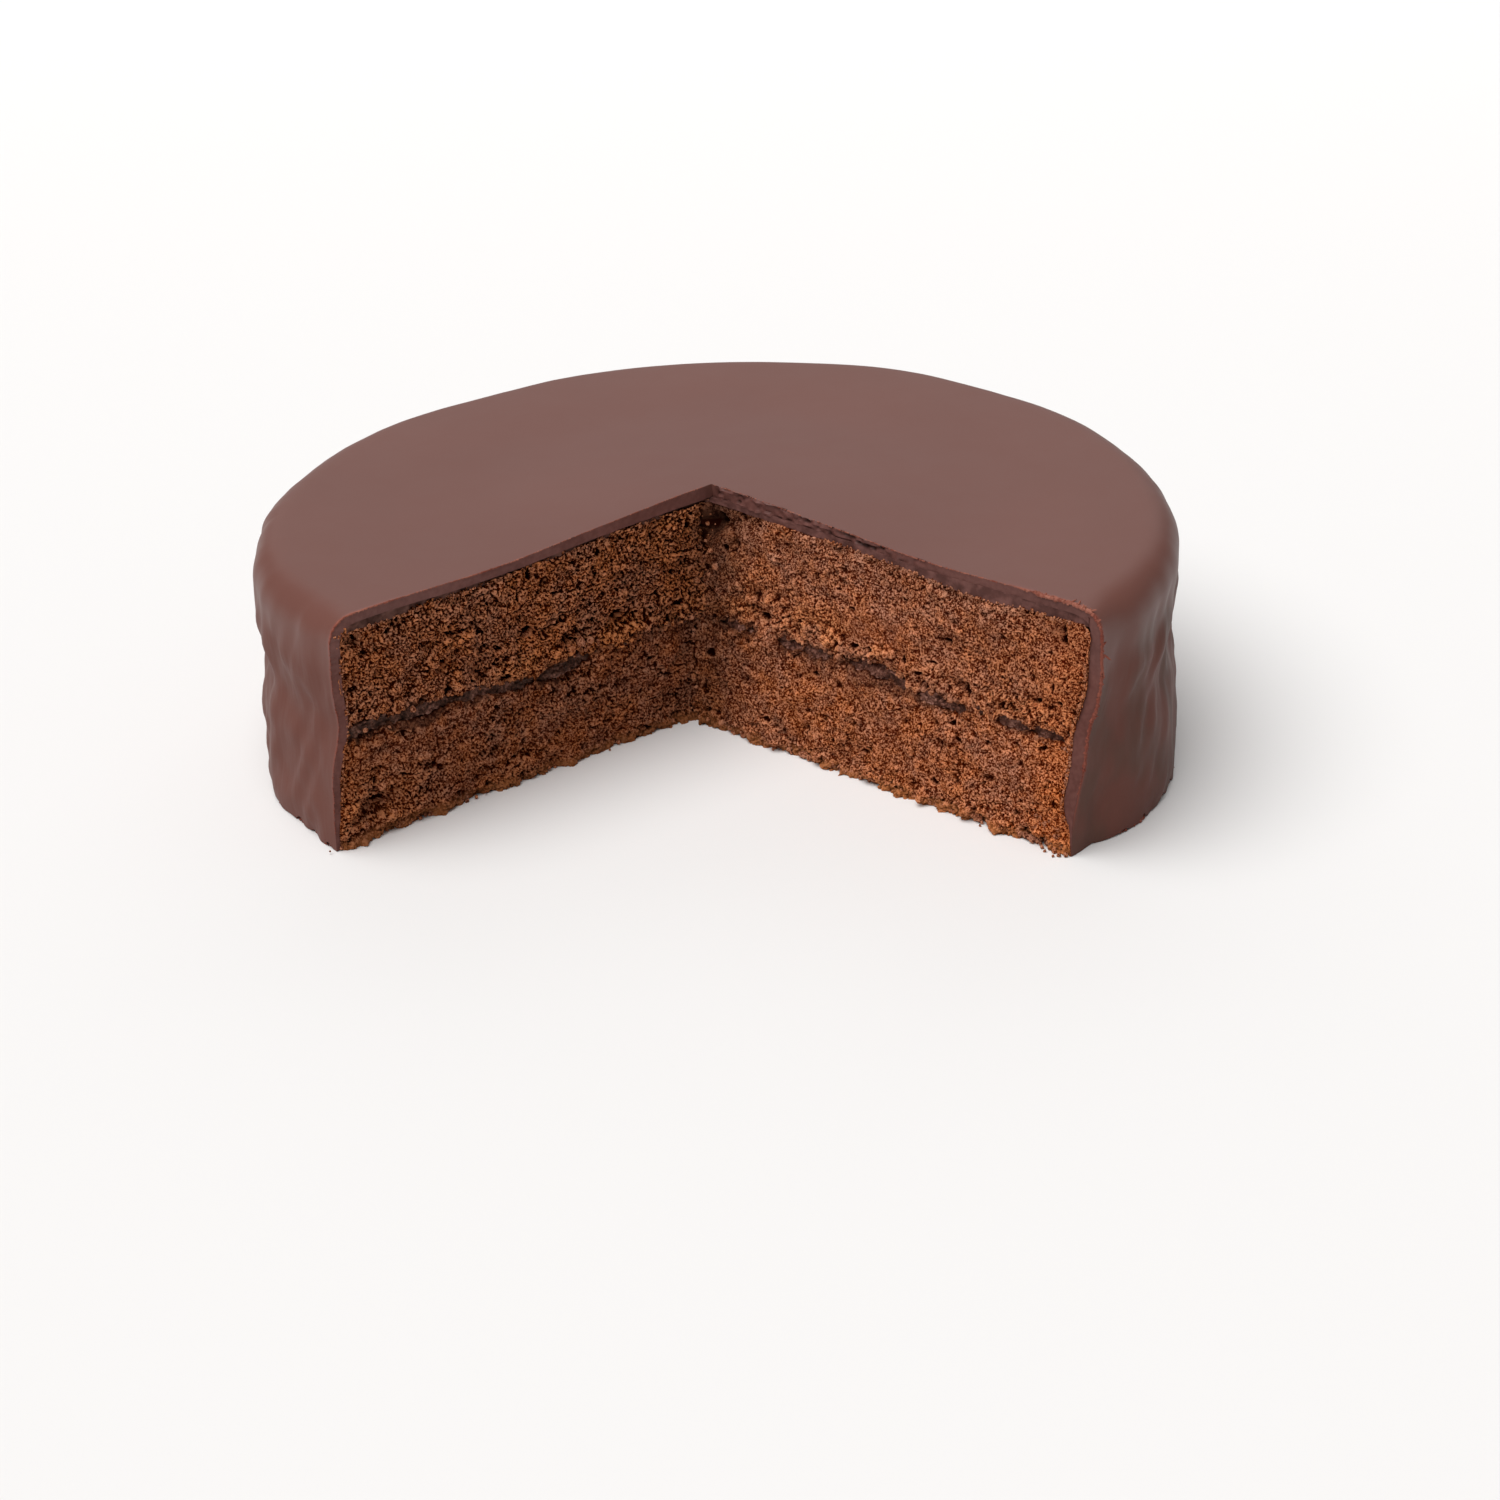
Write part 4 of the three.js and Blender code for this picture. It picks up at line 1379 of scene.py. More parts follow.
# Glaze: a sheet from the cut's inner edge over the shoulder to the foot, given its thickness
glazeSettings = {
    "columns": 420,
    "crowding": 0.7,
    "topRows": 44,
    "shoulderRows": 14,
    "sideRows": 34,
    "sweep": 262,
    "footHeight": 0.1,
    "foldsGrowOver": 0.08,
    # (height of the lip along the cut, its width, where it starts and is full above the foot)
    "lips": {"left": (0.25, 1.0, 4, 12), "right": (0.35, 1.5, 7, 16)},
    "lipMean": 0.75,
    "lipVaries": [(0.35, 3.1, 37), (0.2, 1.2, 38)],
    "lipOnTop": 0.45,
    "lipOnTopFrom": (92, 108),
    "squarerLeft": 0.18,
    "squarerRight": 0.30,
    "squarerOver": 7,
    "thickest": 4.6,
    "fillsSkinOver": 6,
    "wallBelow": (44, 56),
    "blotchedBelow": (46, 62),
    "blotchedRightOf": (30, 75),
    "blotchedBefore": (10, 70),
}
glazeFoot = {
    "lift": 0.35,
    "liftCells": [(2.2, 21), (9, 22)],
    "nicks": 0.45,
    "nickCell": (0.9, 23),
    "nickPlaces": (4, 24),
    "nickRange": (-0.2, 0.4),
    "nickSharpness": 0.7,
    # (angle, width, height) of single nicks
    "singleNicks": [
        (-141.5, 1.2, 0.9), (-145.5, 1.0, 1.2), (-150, 0.8, 0.8), (-154, 1.2, 1.3), (-160, 1.5, 0.7),
        (-13, 1.3, 2.2), (-19, 0.8, 1.6), (-23, 1.2, 1.1), (-29, 0.8, 1.8), (-33, 1.2, 0.9),
    ],
}
# Low relief of the skin. Folds are (share, noises), and their noises are (size, lean, climb, cell
# along, cell up, key).
glazeRelief = {
    "rimLumps": [(0.40, 13, 35), (0.22, 6, 36)],
    "rimLevel": -0.28,
    "folds": [
        (0.62, [(1.0, 0.7, 0, 16, 22, 31), (0.8, -0.8, 0, 8, 15, 32)]),
        (0.44, [(1.0, -0.5, 0, 4.2, 14, 33)]),
        (0.36, [(1.0, 0, 0, 30, 9, 34)]),
        (0.40, [(1.0, 0.6, -0.2, 5.5, 7.5, 39)]),
    ],
    "foldLevel": 0.5,
    "footSwell": (0.5, 4, 9),
    "foldRange": (-1.6, 0.3),
    "foldsBelow": (48, 60),
}


def footLift(angle):
    f = glazeFoot
    turn = np.degrees(np.arctan2(np.sin(angle), np.cos(angle)))
    lift = f["lift"]
    for cell, key in f["liftCells"]:
        lift = lift * (0.5 + 0.5 * gridNoise(turn / cell, 0, key))
    nicks, places = (gridNoise(turn / cell, 0, key) for cell, key in (f["nickCell"], f["nickPlaces"]))
    lift = lift + f["nicks"] * np.maximum(nicks, 0) * smoothStep(*f["nickRange"], places)
    for place, wide, high in f["singleNicks"]:
        lift = lift + high * bell(turn - place, wide * f["nickSharpness"])
    return lift


# Low lumps of the rim seen from above
def rimLumps(angle):
    return wavering(glazeRelief["rimLumps"], angle * wholeCake["radius"], 0) + glazeRelief["rimLevel"]


def sideFolds(angle, z):
    r = glazeRelief
    across = angle * wholeCake["radius"]

    def foldNoise(size, lean, climb, wide, tall, key):
        return size * gridNoise((across + lean * z) / wide, (z + climb * across) / tall, key)

    folds = sum(share * sum(foldNoise(*noise) for noise in noises) for share, noises in r["folds"])
    swell, middle, spread = r["footSwell"]
    folds = folds - r["foldLevel"] + swell * bell(z - middle, spread)
    return (1 - smoothStep(*r["foldsBelow"], z)) * np.clip(folds, *r["foldRange"]) + rimLumps(angle)


# Places of the sheet's points: the top, the shoulder as a quarter round, and the side, which leans
# with the cut. Also how thick the glaze is there.
def laySheet(turn, row):
    g = glazeSettings
    radius, shoulder = wholeCake["radius"], wholeCake["shoulder"]
    lipHeight, lipWidth, lipFoot, lipFull = (np.where(turn < 0.5, *pair) for pair in zip(*g["lips"].values()))
    fromCut = np.minimum(turn, 1 - turn) * math.radians(g["sweep"])
    full = np.full(len(turn), wholeCake["height"])
    sideStart = g["topRows"] + g["shoulderRows"]
    onTop, onShoulder = row <= g["topRows"], (row > g["topRows"]) & (row <= sideStart)
    onSide = row > sideStart

    def sweep(z):
        return mixed(faceAngle("leftAngles", z), faceAngle("rightAngles", z) - 2 * math.pi, turn)

    def lipAt(z, reach):
        uneven = wavering(g["lipVaries"], z, turn > 0.5, g["lipMean"])
        return lipHeight * uneven * bell(fromCut * reach, lipWidth) * smoothStep(lipFoot, lipFull, z)

    # the folds fade out towards the cut, where the skin ends in a lip
    def skinRadius(angle, z):
        folds = sideFolds(angle, z) * smoothStep(0, g["foldsGrowOver"], fromCut)
        return outerRadius(angle, z) + folds + lipAt(z, radius)

    def rimAt(angle, _):
        return outerRadius(angle, full) - shoulder

    def skinPlace(z):
        angle = sweep(z)
        edgeX, edgeY = cutEdge(z)
        reach = reachTo(skinRadius, angle, z)
        return edgeX + reach * np.cos(angle), edgeY + reach * np.sin(angle)

    angle = sweep(full)
    edgeX, edgeY = cutEdge(full)
    share = np.clip(row / g["topRows"], 0, 1)
    flat = reachTo(rimAt, angle, full)
    x, y = edgeX + share * flat * np.cos(angle), edgeY + share * flat * np.sin(angle)
    onLip = g["lipOnTop"] * smoothStep(*g["lipOnTopFrom"], share * flat)
    z = topHeight(x, y) + onLip * bell(fromCut * share * flat, lipWidth) * lipHeight
    # the shoulder runs from the flat's edge to the side's first row, a little squarer at the cut
    flatX, flatY = edgeX + flat * np.cos(angle), edgeY + flat * np.sin(angle)
    polarAngle, centre = np.arctan2(flatY, flatX), np.hypot(flatX, flatY)
    crown = topHeight(centre * np.cos(polarAngle), centre * np.sin(polarAngle))
    bend = np.clip((row - g["topRows"]) / g["shoulderRows"], 0, 1) * math.pi / 2
    squarer = np.where(turn < 0.5, g["squarerLeft"], g["squarerRight"])
    square = 1 - squarer * bell(fromCut * radius, g["squarerOver"])
    sinBend, cosBend = np.sin(bend) ** square, np.maximum(np.cos(bend), 0) ** square
    onLip = g["lipOnTop"] * lipHeight * bell(fromCut * radius, lipWidth) * cosBend
    shoulderZ = crown - shoulder + shoulder * cosBend + onLip
    firstX, firstY = skinPlace(crown - shoulder)
    down = np.clip((row - g["topRows"] - g["shoulderRows"]) / g["sideRows"], 0, 1)
    sideZ = mixed(crown - shoulder, g["footHeight"] + footLift(polarAngle), down)
    sideX, sideY = skinPlace(sideZ)
    x = np.where(onSide, sideX, np.where(onShoulder, mixed(flatX, firstX, sinBend), x))
    y = np.where(onSide, sideY, np.where(onShoulder, mixed(flatY, firstY, sinBend), y))
    z = np.where(onSide, sideZ, np.where(onShoulder, shoulderZ, z))
    # at the cut the glaze is thicker by what stands out of the plain body
    polarAngle = np.arctan2(y, x)
    skinOut = np.maximum(np.hypot(x, y) - plainRadius(polarAngle, z), 0)
    skinOut = skinOut * bell(fromCut * radius, g["fillsSkinOver"])
    thick = np.where(onTop, glazeOnTop(x, y), glazeOnSide(polarAngle, z) + skinOut)
    thick = np.where(onShoulder, mixed(layers["glazeOnTop"], thick, sinBend), thick)
    return x, y, z, thick


def makeGlaze(material):
    g = glazeSettings
    rows = g["topRows"] + g["shoulderRows"] + g["sideRows"]
    deselectAll()
    bpy.ops.mesh.primitive_grid_add(x_subdivisions=g["columns"], y_subdivisions=rows, size=2)
    piece = bpy.context.object
    piece.name = "glazeShell"
    sheet = pointsOf(piece)
    # the columns crowd towards the cut
    turn = (sheet[:, 0] + 1) / 2
    turn = turn - g["crowding"] * np.sin(2 * math.pi * turn) / (2 * math.pi)
    row = np.round((sheet[:, 1] + 1) / 2 * rows)
    x, y, z, thick = laySheet(turn, row)
    movePoints(piece, placed(x, y, z))
    note(piece, "thick", thick / g["thickest"])
    note(piece, "turn", turn)
    note(piece, "wall", 1 - smoothStep(*g["wallBelow"], z))
    # darker patches of painted reflection, low on the right side at the front
    blotched = (1 - smoothStep(*g["blotchedBelow"], z)) * smoothStep(*g["blotchedRightOf"], x)
    note(piece, "blotched", blotched * (1 - smoothStep(*g["blotchedBefore"], y)))
    edges = {}
    for side, end in (("left", 0), ("right", 1)):
        column = np.abs(turn - end) < 1e-6
        order = np.argsort(row[column])
        edges[side] = np.stack([x[column], y[column], z[column]], axis=1)[order]
    mergeDoubles(piece)
    weigh(piece, "thickness", noted(piece, "thick"))
    makeActive(piece)
    solid = piece.modifiers.new("thickness", "SOLIDIFY")
    solid.thickness = g["thickest"] * mm
    solid.offset = -1
    solid.vertex_group = "thickness"
    solid.use_rim = True
    bpy.ops.object.modifier_apply(modifier=solid.name)
    finishBand(piece)
    keepInside(piece)
    finishPiece(piece, "glaze", material, 40)
    return edges


# The cut through the glaze, divided finely and torn a little
bandSettings = {
    "cuts": 5,
    "waves": 0.25,
    "waveCells": (14, 14),
    "tornLeft": 0.22,
    "tornRight": (1.35, 62, 80),
    "fissures": [(0.42, (3.4, 0.8), 51), (0.36, (1.3, 0.7), 52)],
    "fissureRange": (0.10, 0.55),
    "fissureShade": 0.85,
    "paleLeft": 0.55,
    "paleRight": 0.30,
    "paleVaries": 0.2,
    "paleCells": (9, 7),
    "lineLeft": (0.5, 1.0, 50, 58),
    "lineWidths": (0.6, 0.9),
    "lineFrom": (92, 108),
    "lineAbove": (5, 14),
    "fadesOver": 5,
}


def finishBand(piece):
    b = bandSettings
    turns = noted(piece, "turn")
    corners = [turns[list(face.vertices)] for face in piece.data.polygons]
    onBand = [bool((c < 1e-4).all() or (c > 1 - 1e-4).all()) for c in corners]
    selectFaces(piece, lambda face: onBand[face.index])
    bpy.ops.mesh.subdivide(number_cuts=b["cuts"])
    bpy.ops.object.mode_set(mode="OBJECT")
    turns = noted(piece, "turn")
    places = pointsOf(piece)
    x, y, z = ((places - axisPlace) / mm).T
    onLeft = turns < 0.5
    side = np.where(onLeft, -1.0, 1.0)
    angle = np.where(onLeft, faceAngle("leftAngles", z), faceAngle("rightAngles", z))
    edgeX, edgeY = cutEdge(z)
    along = np.hypot(x - edgeX, y - edgeY)
    below = topHeight(x, y) - z
    # fissures run along the cut, most of them over its inner part on the right
    strength, start, end = b["tornRight"]
    torn = np.where(onLeft, b["tornLeft"], strength * (1 - smoothStep(start, end, along)))
    fissures = torn * sum(size * cellNoise(along, below, cells, key) for size, cells, key in b["fissures"])
    waves = b["waves"] * cellNoise(along, z, b["waveCells"], 14 + side)
    depth = waves + fissures + cornerEase(side, along, z)
    # the deeper fissures are painted dark, a painted shade
    note(piece, "bandDeepShade", smoothStep(*b["fissureRange"], fissures) * b["fissureShade"])
    pale = np.where(onLeft, b["paleLeft"], b["paleRight"])
    note(piece, "bandPale", pale + b["paleVaries"] * cellNoise(along, z, b["paleCells"], 53))
    # a thin reddish line where the skin meets the cut
    fromCut = np.minimum(turns, 1 - turns) * math.radians(glazeSettings["sweep"]) * np.hypot(x, y)
    faint, strong, low, high = b["lineLeft"]
    line = np.where(onLeft, mixed(faint, strong, smoothStep(low, high, z)), 1.0)
    line = line * bell(fromCut, np.where(onLeft, *b["lineWidths"]))
    note(piece, "thinEdge", line * smoothStep(*b["lineFrom"], along) * smoothStep(*b["lineAbove"], z))
    inward = depth * (1 - smoothStep(0, b["fadesOver"], fromCut)) * mm
    places[:, 0] -= side * np.sin(angle) * inward
    places[:, 1] += side * np.cos(angle) * inward
    movePoints(piece, places)
    note(piece, "cutBand", (turns < 1e-4) | (turns > 1 - 1e-4))


print("sponge")
spongeFinish = spongeMaterial()
for name, node, lowAt, highAt in spongeSettings["layers"]:
    makeSponge(name, node, lowAt, highAt, spongeFinish)

print("jam")
makeJam("jamLayer", "jam_filling", jamSettings["layer"],
        fillingUnderside, fillingTop, coreRadius, layerRecess, jamMaterial())
makeJam("jamCoat", "jam_coat", jamSettings["coat"],
        coatUnderside, coatTop, coatRadius, coatRecess, coatMaterial())

print("glaze")
cutEdges = makeGlaze(glazeMaterial())

# Crumbs: two grains are modelled, and their copies make the burr that the knife left along the
# glaze and the crumbs at the layers' edges, at the foot and on the table
crumbLook = {
    "burrDark": (0.17, 0.036, 0.022),
    "burrPale": (0.40, 0.155, 0.105),
    "tone": (900, 2, 0.3, 0.7),
    "patch": (130, 2, 0.35, 0.65),
    "roughness": 0.7,
    "gloss": 0.2,
    "bump": (2200, 2, 0.5, 0.5, 0.2),
}
burr = {
    "seed": 23,
    "spacing": 0.33,
    # (from, to, smallest, largest, share of places) along each edge of the glaze from the middle out
    "left": [
        (2, 60, 0.12, 0.24, 0.75), (60, 100, 0.15, 0.28, 0.9), (100, 121, 0.20, 0.36, 1.0),
        (121, 174, 0.12, 0.22, 0.7),
    ],
    "right": [
        (1, 40, 0.12, 0.26, 0.6), (40, 100, 0.14, 0.28, 0.9), (100, 107, 0.22, 0.40, 1.0),
        (107, 124, 0.36, 0.75, 1.0), (124, 130, 0.36, 0.60, 1.0), (130, 165, 0.34, 0.56, 1.0),
        (165, 172, 0.15, 0.30, 1.0),
    ],
    # how far the grains stray to the side and outwards, and how deep they sit in their size
    "stray": (0.12, 0.1),
    "sunk": 0.25,
    # (place along the right edge, length) of the spikes
    "spikes": [
        (106, 1.2), (109, 1.5), (112, 1.9), (114, 1.4), (116, 2.2), (118, 1.9), (120, 2.3), (122, 1.8),
        (125, 1.4), (131, 1.3), (134, 2.6), (139, 1.2), (150, 1.1),
    ],
    # how pale it is low down and on top, and between which heights it changes
    "paler": (0.32, 1.0, 60, 64),
}
crumbs = {
    "seed": 41,
    # (face, from, to, height, smallest, largest, how many) of the crumbs at the foot of the cut
    "foot": [("left", 4, 114, 0.8, 0.25, 0.60, 110), ("right", 3, 120, 1.2, 0.30, 1.0, 210)],
    "footOut": (-1.1, 0.1),
    # (face, along, up, size, out) of single crumbs stuck to the cut
    "stuck": [
        ("right", 75, 57.3, 1.0, 0.4), ("left", 40, 34, 1.5, 0.1), ("left", 43, 33, 1.2, 0.2),
        ("left", 37, 33.5, 1.1, 0.2), ("right", 43, 33.5, 1.5, 0.1), ("right", 49, 34, 1.3, 0.1),
        ("right", 64, 35, 1.4, 0.1), ("right", 4, 44, 1.1, -0.2), ("right", 6, 38, 1.1, -0.2),
        ("right", 2, 48, 0.8, 0.0), ("left", 2, 40, 1.2, 0.0), ("left", 3, 30, 1.1, 0.1),
        ("left", 106, 31, 0.8, 0.4), ("left", 92, 32, 0.9, 0.3), ("left", 100, 14, 1.3, 0.0),
        ("left", 96, 5, 1.3, 0.2), ("left", 104, 4.5, 1.0, 0.2), ("right", 96, 31.5, 1.0, 0.2),
        ("right", 84, 31, 1.1, 0.2),
    ],
    # (face, along, out, size) of the crumbs on the table, most of them by the right-hand corner
    "onTable": [
        ("right", 119, 0.9, 0.9), ("right", 121, 1.8, 0.7), ("right", 122.4, 0.8, 0.8),
        ("right", 117, 2.0, 0.5), ("right", 120, 2.8, 0.45), ("right", 115.5, 1.0, 0.6),
        ("right", 97, 1.2, 0.4), ("right", 72, 0.9, 0.45), ("right", 30, 1.0, 0.4), ("left", 28, 1.1, 0.4),
    ],
    # (face, from, to, low, high, smallest, largest, how many) of crumbs scattered over part of a face
    "scattered": [
        ("right", 112, 119.5, 0.3, 8, 0.3, 0.8, 34),
        ("right", 0, 2.2, 3, 58, 0.25, 0.7, 40), ("left", 0, 2.2, 3, 58, 0.25, 0.7, 40),
    ],
    "scatteredOut": (-1.0, 0.1),
    # (face, from, to, nearest, farthest, smallest, largest, how many) round the middle of the jam
    "byJam": [
        ("left", 18, 110, 1.7, 2.8, 0.22, 0.65, 80), ("left", 18, 110, -2.8, -1.8, 0.22, 0.60, 60),
        ("right", 8, 119, 1.4, 2.8, 0.25, 1.0, 120), ("right", 8, 119, -2.8, -1.5, 0.22, 0.70, 80),
    ],
    "byJamOut": (-1.1, -0.1),
    # (face, inset, smallest, largest, how many) of the pale grains between sponge and glaze, and
    # where they lie: a share of them along the coat, the others up the wall
    "lined": [("right", 0.1, 0.20, 0.45, 300), ("left", 0.6, 0.16, 0.36, 200)],
    "alongCoat": 0.66,
    "coatSpan": (40, 118),
    "coatStray": (-0.5, 0.45),
    "wallSpan": (9, 52),
    # (from, to, smallest, largest, how many) in degrees round the foot of the glaze
    "glazeFoot": [(-176, -146, 0.18, 0.42, 80), (-38, -8, 0.25, 0.62, 70), (-8, 180, 0.12, 0.28, 70)],
    "glazeFootUnder": (0.2, 0.8),
    # what the materials read on the crumbs
    "onSponge": {"crest": 0.75, "tone": 0.95, "rich": 1.0, "grainy": 1.2},
    "palerAtFoot": (0.3, 0.3, 60),
}


def burrMaterial():
    material, tree, shader = startMaterial("glazeBurr")
    tone, patch = spreadNoise(tree, crumbLook["tone"]), spreadNoise(tree, crumbLook["patch"])
    share = calculate(tree, "MULTIPLY", calculate(tree, "ADD", tone, patch), 0.5)
    share = calculate(tree, "MULTIPLY", share, attributeValue(tree, "paler"))
    colour = blendColours(tree, share, crumbLook["burrDark"], crumbLook["burrPale"])
    bump = noiseBump(tree, crumbLook["bump"])
    finishShader(tree, shader, colour, crumbLook["roughness"], crumbLook["gloss"], bump)
    return material


def modelGrain(name, fineness, roughness):
    deselectAll()
    bpy.ops.mesh.primitive_ico_sphere_add(subdivisions=fineness, radius=mm, location=(0, 0, 0))
    grain = bpy.context.object
    grain.name = name
    weigh(grain, "whole", np.ones(len(grain.data.vertices)))
    roughen(grain, "whole", "CLOUDS", 0.9, roughness, 0.5, noise_depth=1)
    return grain


# Copies of a grain at (place in mm, three half sizes), each turned its own way, as one piece
def strew(name, grain, spots, draw):
    copies = []
    for place, sizes in spots:
        copy = grain.copy()
        copy.data = grain.data.copy()
        bpy.context.collection.objects.link(copy)
        copy.location = Vector(place) * mm + Vector(axisPlace)
        copy.scale = sizes
        copy.rotation_euler = [draw.uniform(0, 2 * math.pi) for _ in range(3)]
        copies.append(copy)
    deselectAll()
    for copy in copies:
        copy.select_set(True)
    bpy.context.view_layer.objects.active = copies[0]
    bpy.ops.object.join()
    piece = bpy.context.object
    piece.name = name
    bpy.ops.object.transform_apply(location=True, rotation=True, scale=True)
    keepInside(piece)
    bpy.ops.object.shade_smooth_by_angle(angle=math.radians(60))
    return piece


def finishCrumbs(piece, material):
    piece.data.materials.clear()
    piece.data.materials.append(material)
    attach(piece, "root")
    print(piece.name, len(piece.data.polygons), "faces")


def alongEdge(edge, distance):
    steps = np.concatenate([[0], np.cumsum(np.linalg.norm(np.diff(edge, axis=0), axis=1))])
    return [float(np.interp(distance, steps, edge[:, axis])) for axis in range(3)]


def faceSpot(face, along, up, out):
    side = faceSign[face]
    angle = float(faceAngle(face + "Angles", up))
    edgeX, edgeY = cutEdge(up)
    return (edgeX + along * math.cos(angle) + side * math.sin(angle) * out,
            edgeY + along * math.sin(angle) - side * math.cos(angle) * out, up)


# A place on the edge of the glaze, eased back with the face
def onEdge(face, place):
    x, y, z = alongEdge(cutEdges[face], place)
    side = faceSign[face]
    edgeX, edgeY = cutEdge(z)
    back = float(cornerEase(side, math.hypot(x - edgeX, y - edgeY), z))
    angle = float(faceAngle(face + "Angles", z))
    return x - side * math.sin(angle) * back, y + side * math.cos(angle) * back, z


def makeBurr(grain, material):
    draw = random.Random(burr["seed"])
    spots = []
    aside, out = burr["stray"]
    for face in faceSign:
        for start, end, small, large, share in burr[face]:
            place = start
            while place < end:
                size = draw.uniform(small, large)
                if draw.random() < share:
                    x, y, z = onEdge(face, place)
                    x, y = x + draw.uniform(-aside, aside), y + draw.uniform(-out, out)
                    sizes = (size, size * draw.uniform(0.7, 1.2), size * draw.uniform(0.6, 1.0))
                    spots.append(((x, y, z - burr["sunk"] * size), sizes))
                place += burr["spacing"] * draw.uniform(0.7, 1.3)
    for place, length in burr["spikes"]:
        # one grain of a spike stands out of the edge, and one lies along it
        x, y, z = onEdge("right", place)
        spots.append(((x + 0.3 * length, y, z + 0.1), (0.30, length * 0.7, 0.27)))
        spots.append(((x + 0.2 * length, y - 0.2, z), (length * 0.55, 0.28, 0.28)))
    piece = strew("glazeBurr", grain, spots, draw)
    low, high, start, full = burr["paler"]
    note(piece, "paler", mixed(low, high, smoothStep(start, full, pointsOf(piece)[:, 2] / mm)))
    finishCrumbs(piece, material)


def makeCrumbs(grain, material):
    draw = random.Random(crumbs["seed"])
    spots = []
    for face, start, end, height, small, large, number in crumbs["foot"]:
        for _ in range(number):
            size = draw.uniform(small, large)
            up = size * 0.7 + draw.random() * height
            place = faceSpot(face, draw.uniform(start, end), up, draw.uniform(*crumbs["footOut"]))
            spots.append((place, (size, size * draw.uniform(0.7, 1.2), size * draw.uniform(0.7, 1.1))))
    for face, along, up, size, out in crumbs["stuck"]:
        spots.append((faceSpot(face, along, up, out), (size, size * 0.8, size * 0.9)))
    for face, along, out, size in crumbs["onTable"]:
        spots.append((faceSpot(face, along, size * 0.7, out), (size, size * 0.8, size * 0.75)))
    for face, start, end, low, high, small, large, number in crumbs["scattered"]:
        for _ in range(number):
            size = small + (large - small) * draw.random() ** 2
            along, up = draw.uniform(start, end), max(draw.uniform(low, high), 0.7 * size)
            place = faceSpot(face, along, up, draw.uniform(*crumbs["scatteredOut"]))
            spots.append((place, (size, size * draw.uniform(0.6, 1.1), size * 0.85)))
    for face, start, end, near, far, small, large, number in crumbs["byJam"]:
        for _ in range(number):
            size = small + (large - small) * draw.random() ** 2
            along = draw.uniform(start, end)
            x, y, _ = faceSpot(face, along, 30, 0)
            up = float(fillingMiddle(x, y)) + draw.uniform(near, far)
            place = faceSpot(face, along, up, draw.uniform(*crumbs["byJamOut"]))
            spots.append((place, (size, size * 0.8, size * 0.85)))
    for face, inset, small, large, number in crumbs["lined"]:
        for _ in range(number):
            size = draw.uniform(small, large)
            if draw.random() < crumbs["alongCoat"]:
                along = draw.uniform(*crumbs["coatSpan"])
                x, y, _ = faceSpot(face, along, 60, 0.15)
                z = float(coatUnderside(x, y)) + draw.uniform(*crumbs["coatStray"])
                spots.append(((x, y, z), (size, size, size * 0.8)))
            else:
                up = draw.uniform(*crumbs["wallSpan"])
                angle = np.array([faceAngle(face + "Angles", up)])
                along = float(reachTo(coreRadius, angle, np.array([up]))[0]) - inset - draw.uniform(0.0, 0.6)
                spots.append((faceSpot(face, along, up, 0.1), (size, size, size)))
    piece = strew("looseCrumbs", grain, spots, draw)
    for name, value in crumbs["onSponge"].items():
        note(piece, name, np.full(len(piece.data.vertices), value))
    finishCrumbs(piece, material)


def makeFootCrumbs(grain, material):
    draw = random.Random(crumbs["seed"] + 1)
    spots = []
    for start, end, small, large, number in crumbs["glazeFoot"]:
        for _ in range(number):
            size = draw.uniform(small, large)
            angle = math.radians(draw.uniform(start, end))
            radius = float(outerRadius(angle, 0.5) + sideFolds(angle, 0.5))
            radius = radius - draw.uniform(*crumbs["glazeFootUnder"])
            x, y = radius * math.cos(angle), radius * math.sin(angle)
            spots.append(((x, y, size * 0.8 + draw.uniform(0, 0.3)), (size, size * 0.8, size * 0.8)))
    piece = strew("footCrumbs", grain, spots, draw)
    least, more, farthest = crumbs["palerAtFoot"]
    note(piece, "paler", least + more * smoothStep(0, farthest * mm, pointsOf(piece)[:, 0]))
    finishCrumbs(piece, material)


print("crumbs")
burrFinish = burrMaterial()
smallGrain = modelGrain("smallGrain", 1, 0.7)
largeGrain = modelGrain("largeGrain", 2, 0.8)
makeBurr(smallGrain, burrFinish)
makeFootCrumbs(smallGrain, burrFinish)
makeCrumbs(largeGrain, spongeFinish)
for grain in (smallGrain, largeGrain):
    bpy.data.objects.remove(grain)

# Floor, light and camera
studio = {
    "floorSize": 60,
    "floorColour": (0.815, 0.80, 0.79),
    "floorRoughness": 0.6,
    "floorGloss": 0.2,
    "worldColour": (1.0, 1.0, 1.0),
    "worldStrength": 0.21,
    "keyFrom": (-0.33, -0.235, 0.914),
    "keyStrength": 3.2,
    "keySoftness": 60,
    "backPlace": (0, 1.7, 0.95),
    "backSize": (2.4, 1.2),
    "backPower": 7,
    "lens": 67.44,
    "clipStart": 0.01,
    "cameraHeight": 0.32974,
    "cameraBack": 0.67307,
    "pitch": 26.100,
    "roll": 1.1138,
    "aside": 0.5323,
    "lowered": -0.5090,
}


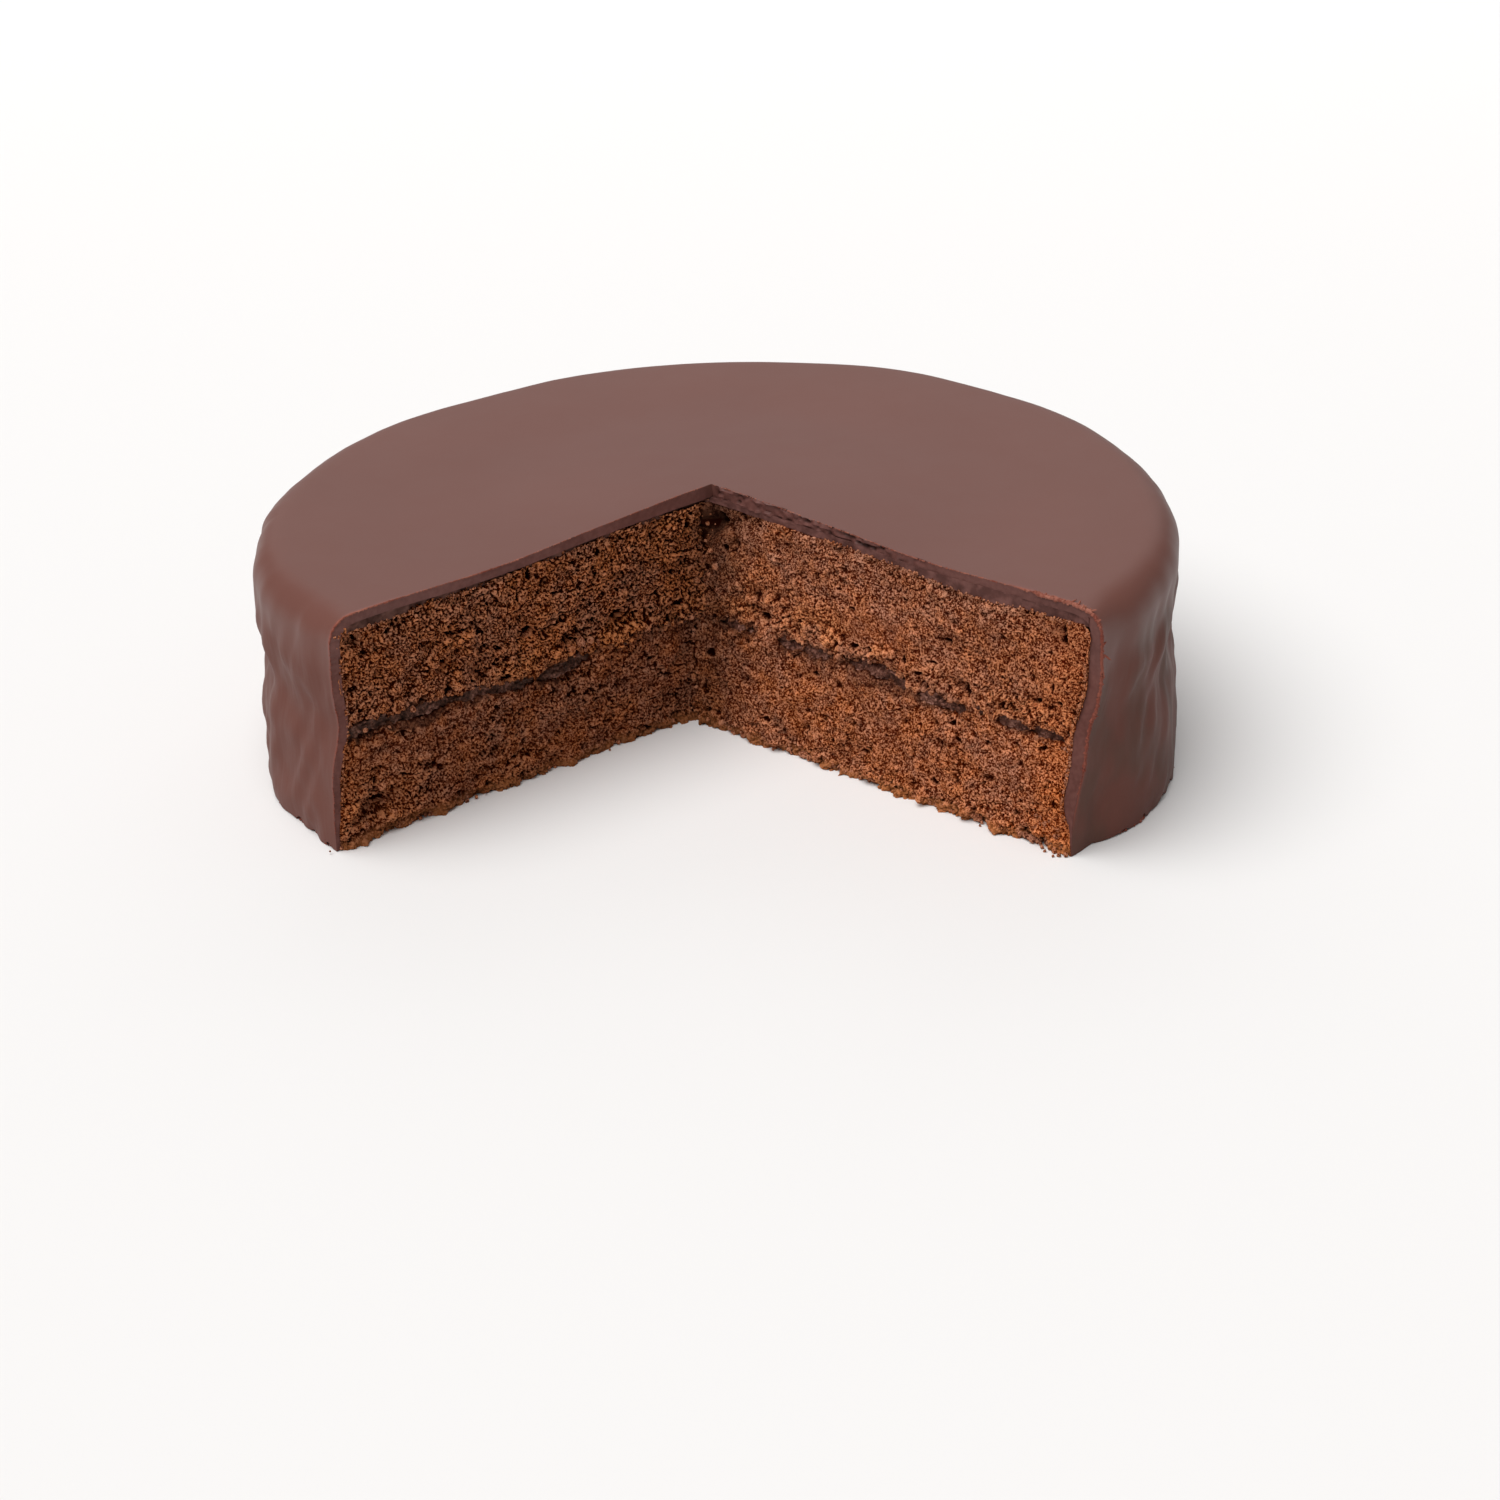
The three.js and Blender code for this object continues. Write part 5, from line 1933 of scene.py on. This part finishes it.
def makeStudio():
    deselectAll()
    bpy.ops.mesh.primitive_plane_add(size=studio["floorSize"], location=(0, 0, 0))
    floor = bpy.context.object
    floor.name = "studioFloor"
    material, tree, shader = startMaterial("paleFloor")
    feed(tree, shader.inputs["Base Color"], studio["floorColour"])
    feed(tree, shader.inputs["Roughness"], studio["floorRoughness"])
    feed(tree, shader.inputs["Specular IOR Level"], studio["floorGloss"])
    floor.data.materials.append(material)
    world = bpy.data.worlds.new("softRoom")
    world.use_nodes = True
    background = world.node_tree.nodes["Background"]
    background.inputs["Color"].default_value = (*studio["worldColour"], 1)
    background.inputs["Strength"].default_value = studio["worldStrength"]
    bpy.context.scene.world = world
    bpy.ops.object.light_add(type="SUN", location=studio["keyFrom"])
    key = bpy.context.object
    key.name = "softKey"
    key.data.angle = math.radians(studio["keySoftness"])
    key.data.energy = studio["keyStrength"]
    key.rotation_euler = (-key.location).to_track_quat("-Z", "Y").to_euler()
    bpy.ops.object.light_add(type="AREA", location=studio["backPlace"])
    panel = bpy.context.object
    panel.name = "backPanel"
    panel.data.shape = "RECTANGLE"
    panel.data.size, panel.data.size_y = studio["backSize"]
    panel.data.energy = studio["backPower"]
    panel.rotation_euler = (-panel.location).to_track_quat("-Z", "Y").to_euler()
    bpy.context.scene.view_settings.view_transform = "Standard"


# Two directions, turned towards each other by an angle
def turned(first, second, angle):
    cosine, sine = math.cos(angle), math.sin(angle)
    return cosine * first - sine * second, sine * first + cosine * second


# The camera looks down at the cut, turned a little aside and rolled
def makeCamera():
    pitch, roll = math.radians(studio["pitch"]), math.radians(studio["roll"])
    aside, lowered = math.radians(studio["aside"]), math.radians(studio["lowered"])
    ahead = Vector((0, math.cos(pitch), -math.sin(pitch)))
    up = Vector((0, math.sin(pitch), math.cos(pitch)))
    right = Vector((1, 0, 0))
    right, ahead = turned(right, ahead, aside)
    up, ahead = turned(up, ahead, lowered)
    right, up = turned(right, up, roll)
    deselectAll()
    bpy.ops.object.camera_add()
    camera = bpy.context.object
    camera.name = "cakeCamera"
    camera.data.lens = studio["lens"]
    camera.data.clip_start = studio["clipStart"]
    place = Vector((axisPlace[0], axisPlace[1] - studio["cameraBack"], studio["cameraHeight"]))
    turn = Matrix((right, up, -ahead)).transposed().to_4x4()
    camera.matrix_world = Matrix.Translation(place) @ turn
    bpy.context.scene.camera = camera


print("studio")
makeStudio()
makeCamera()
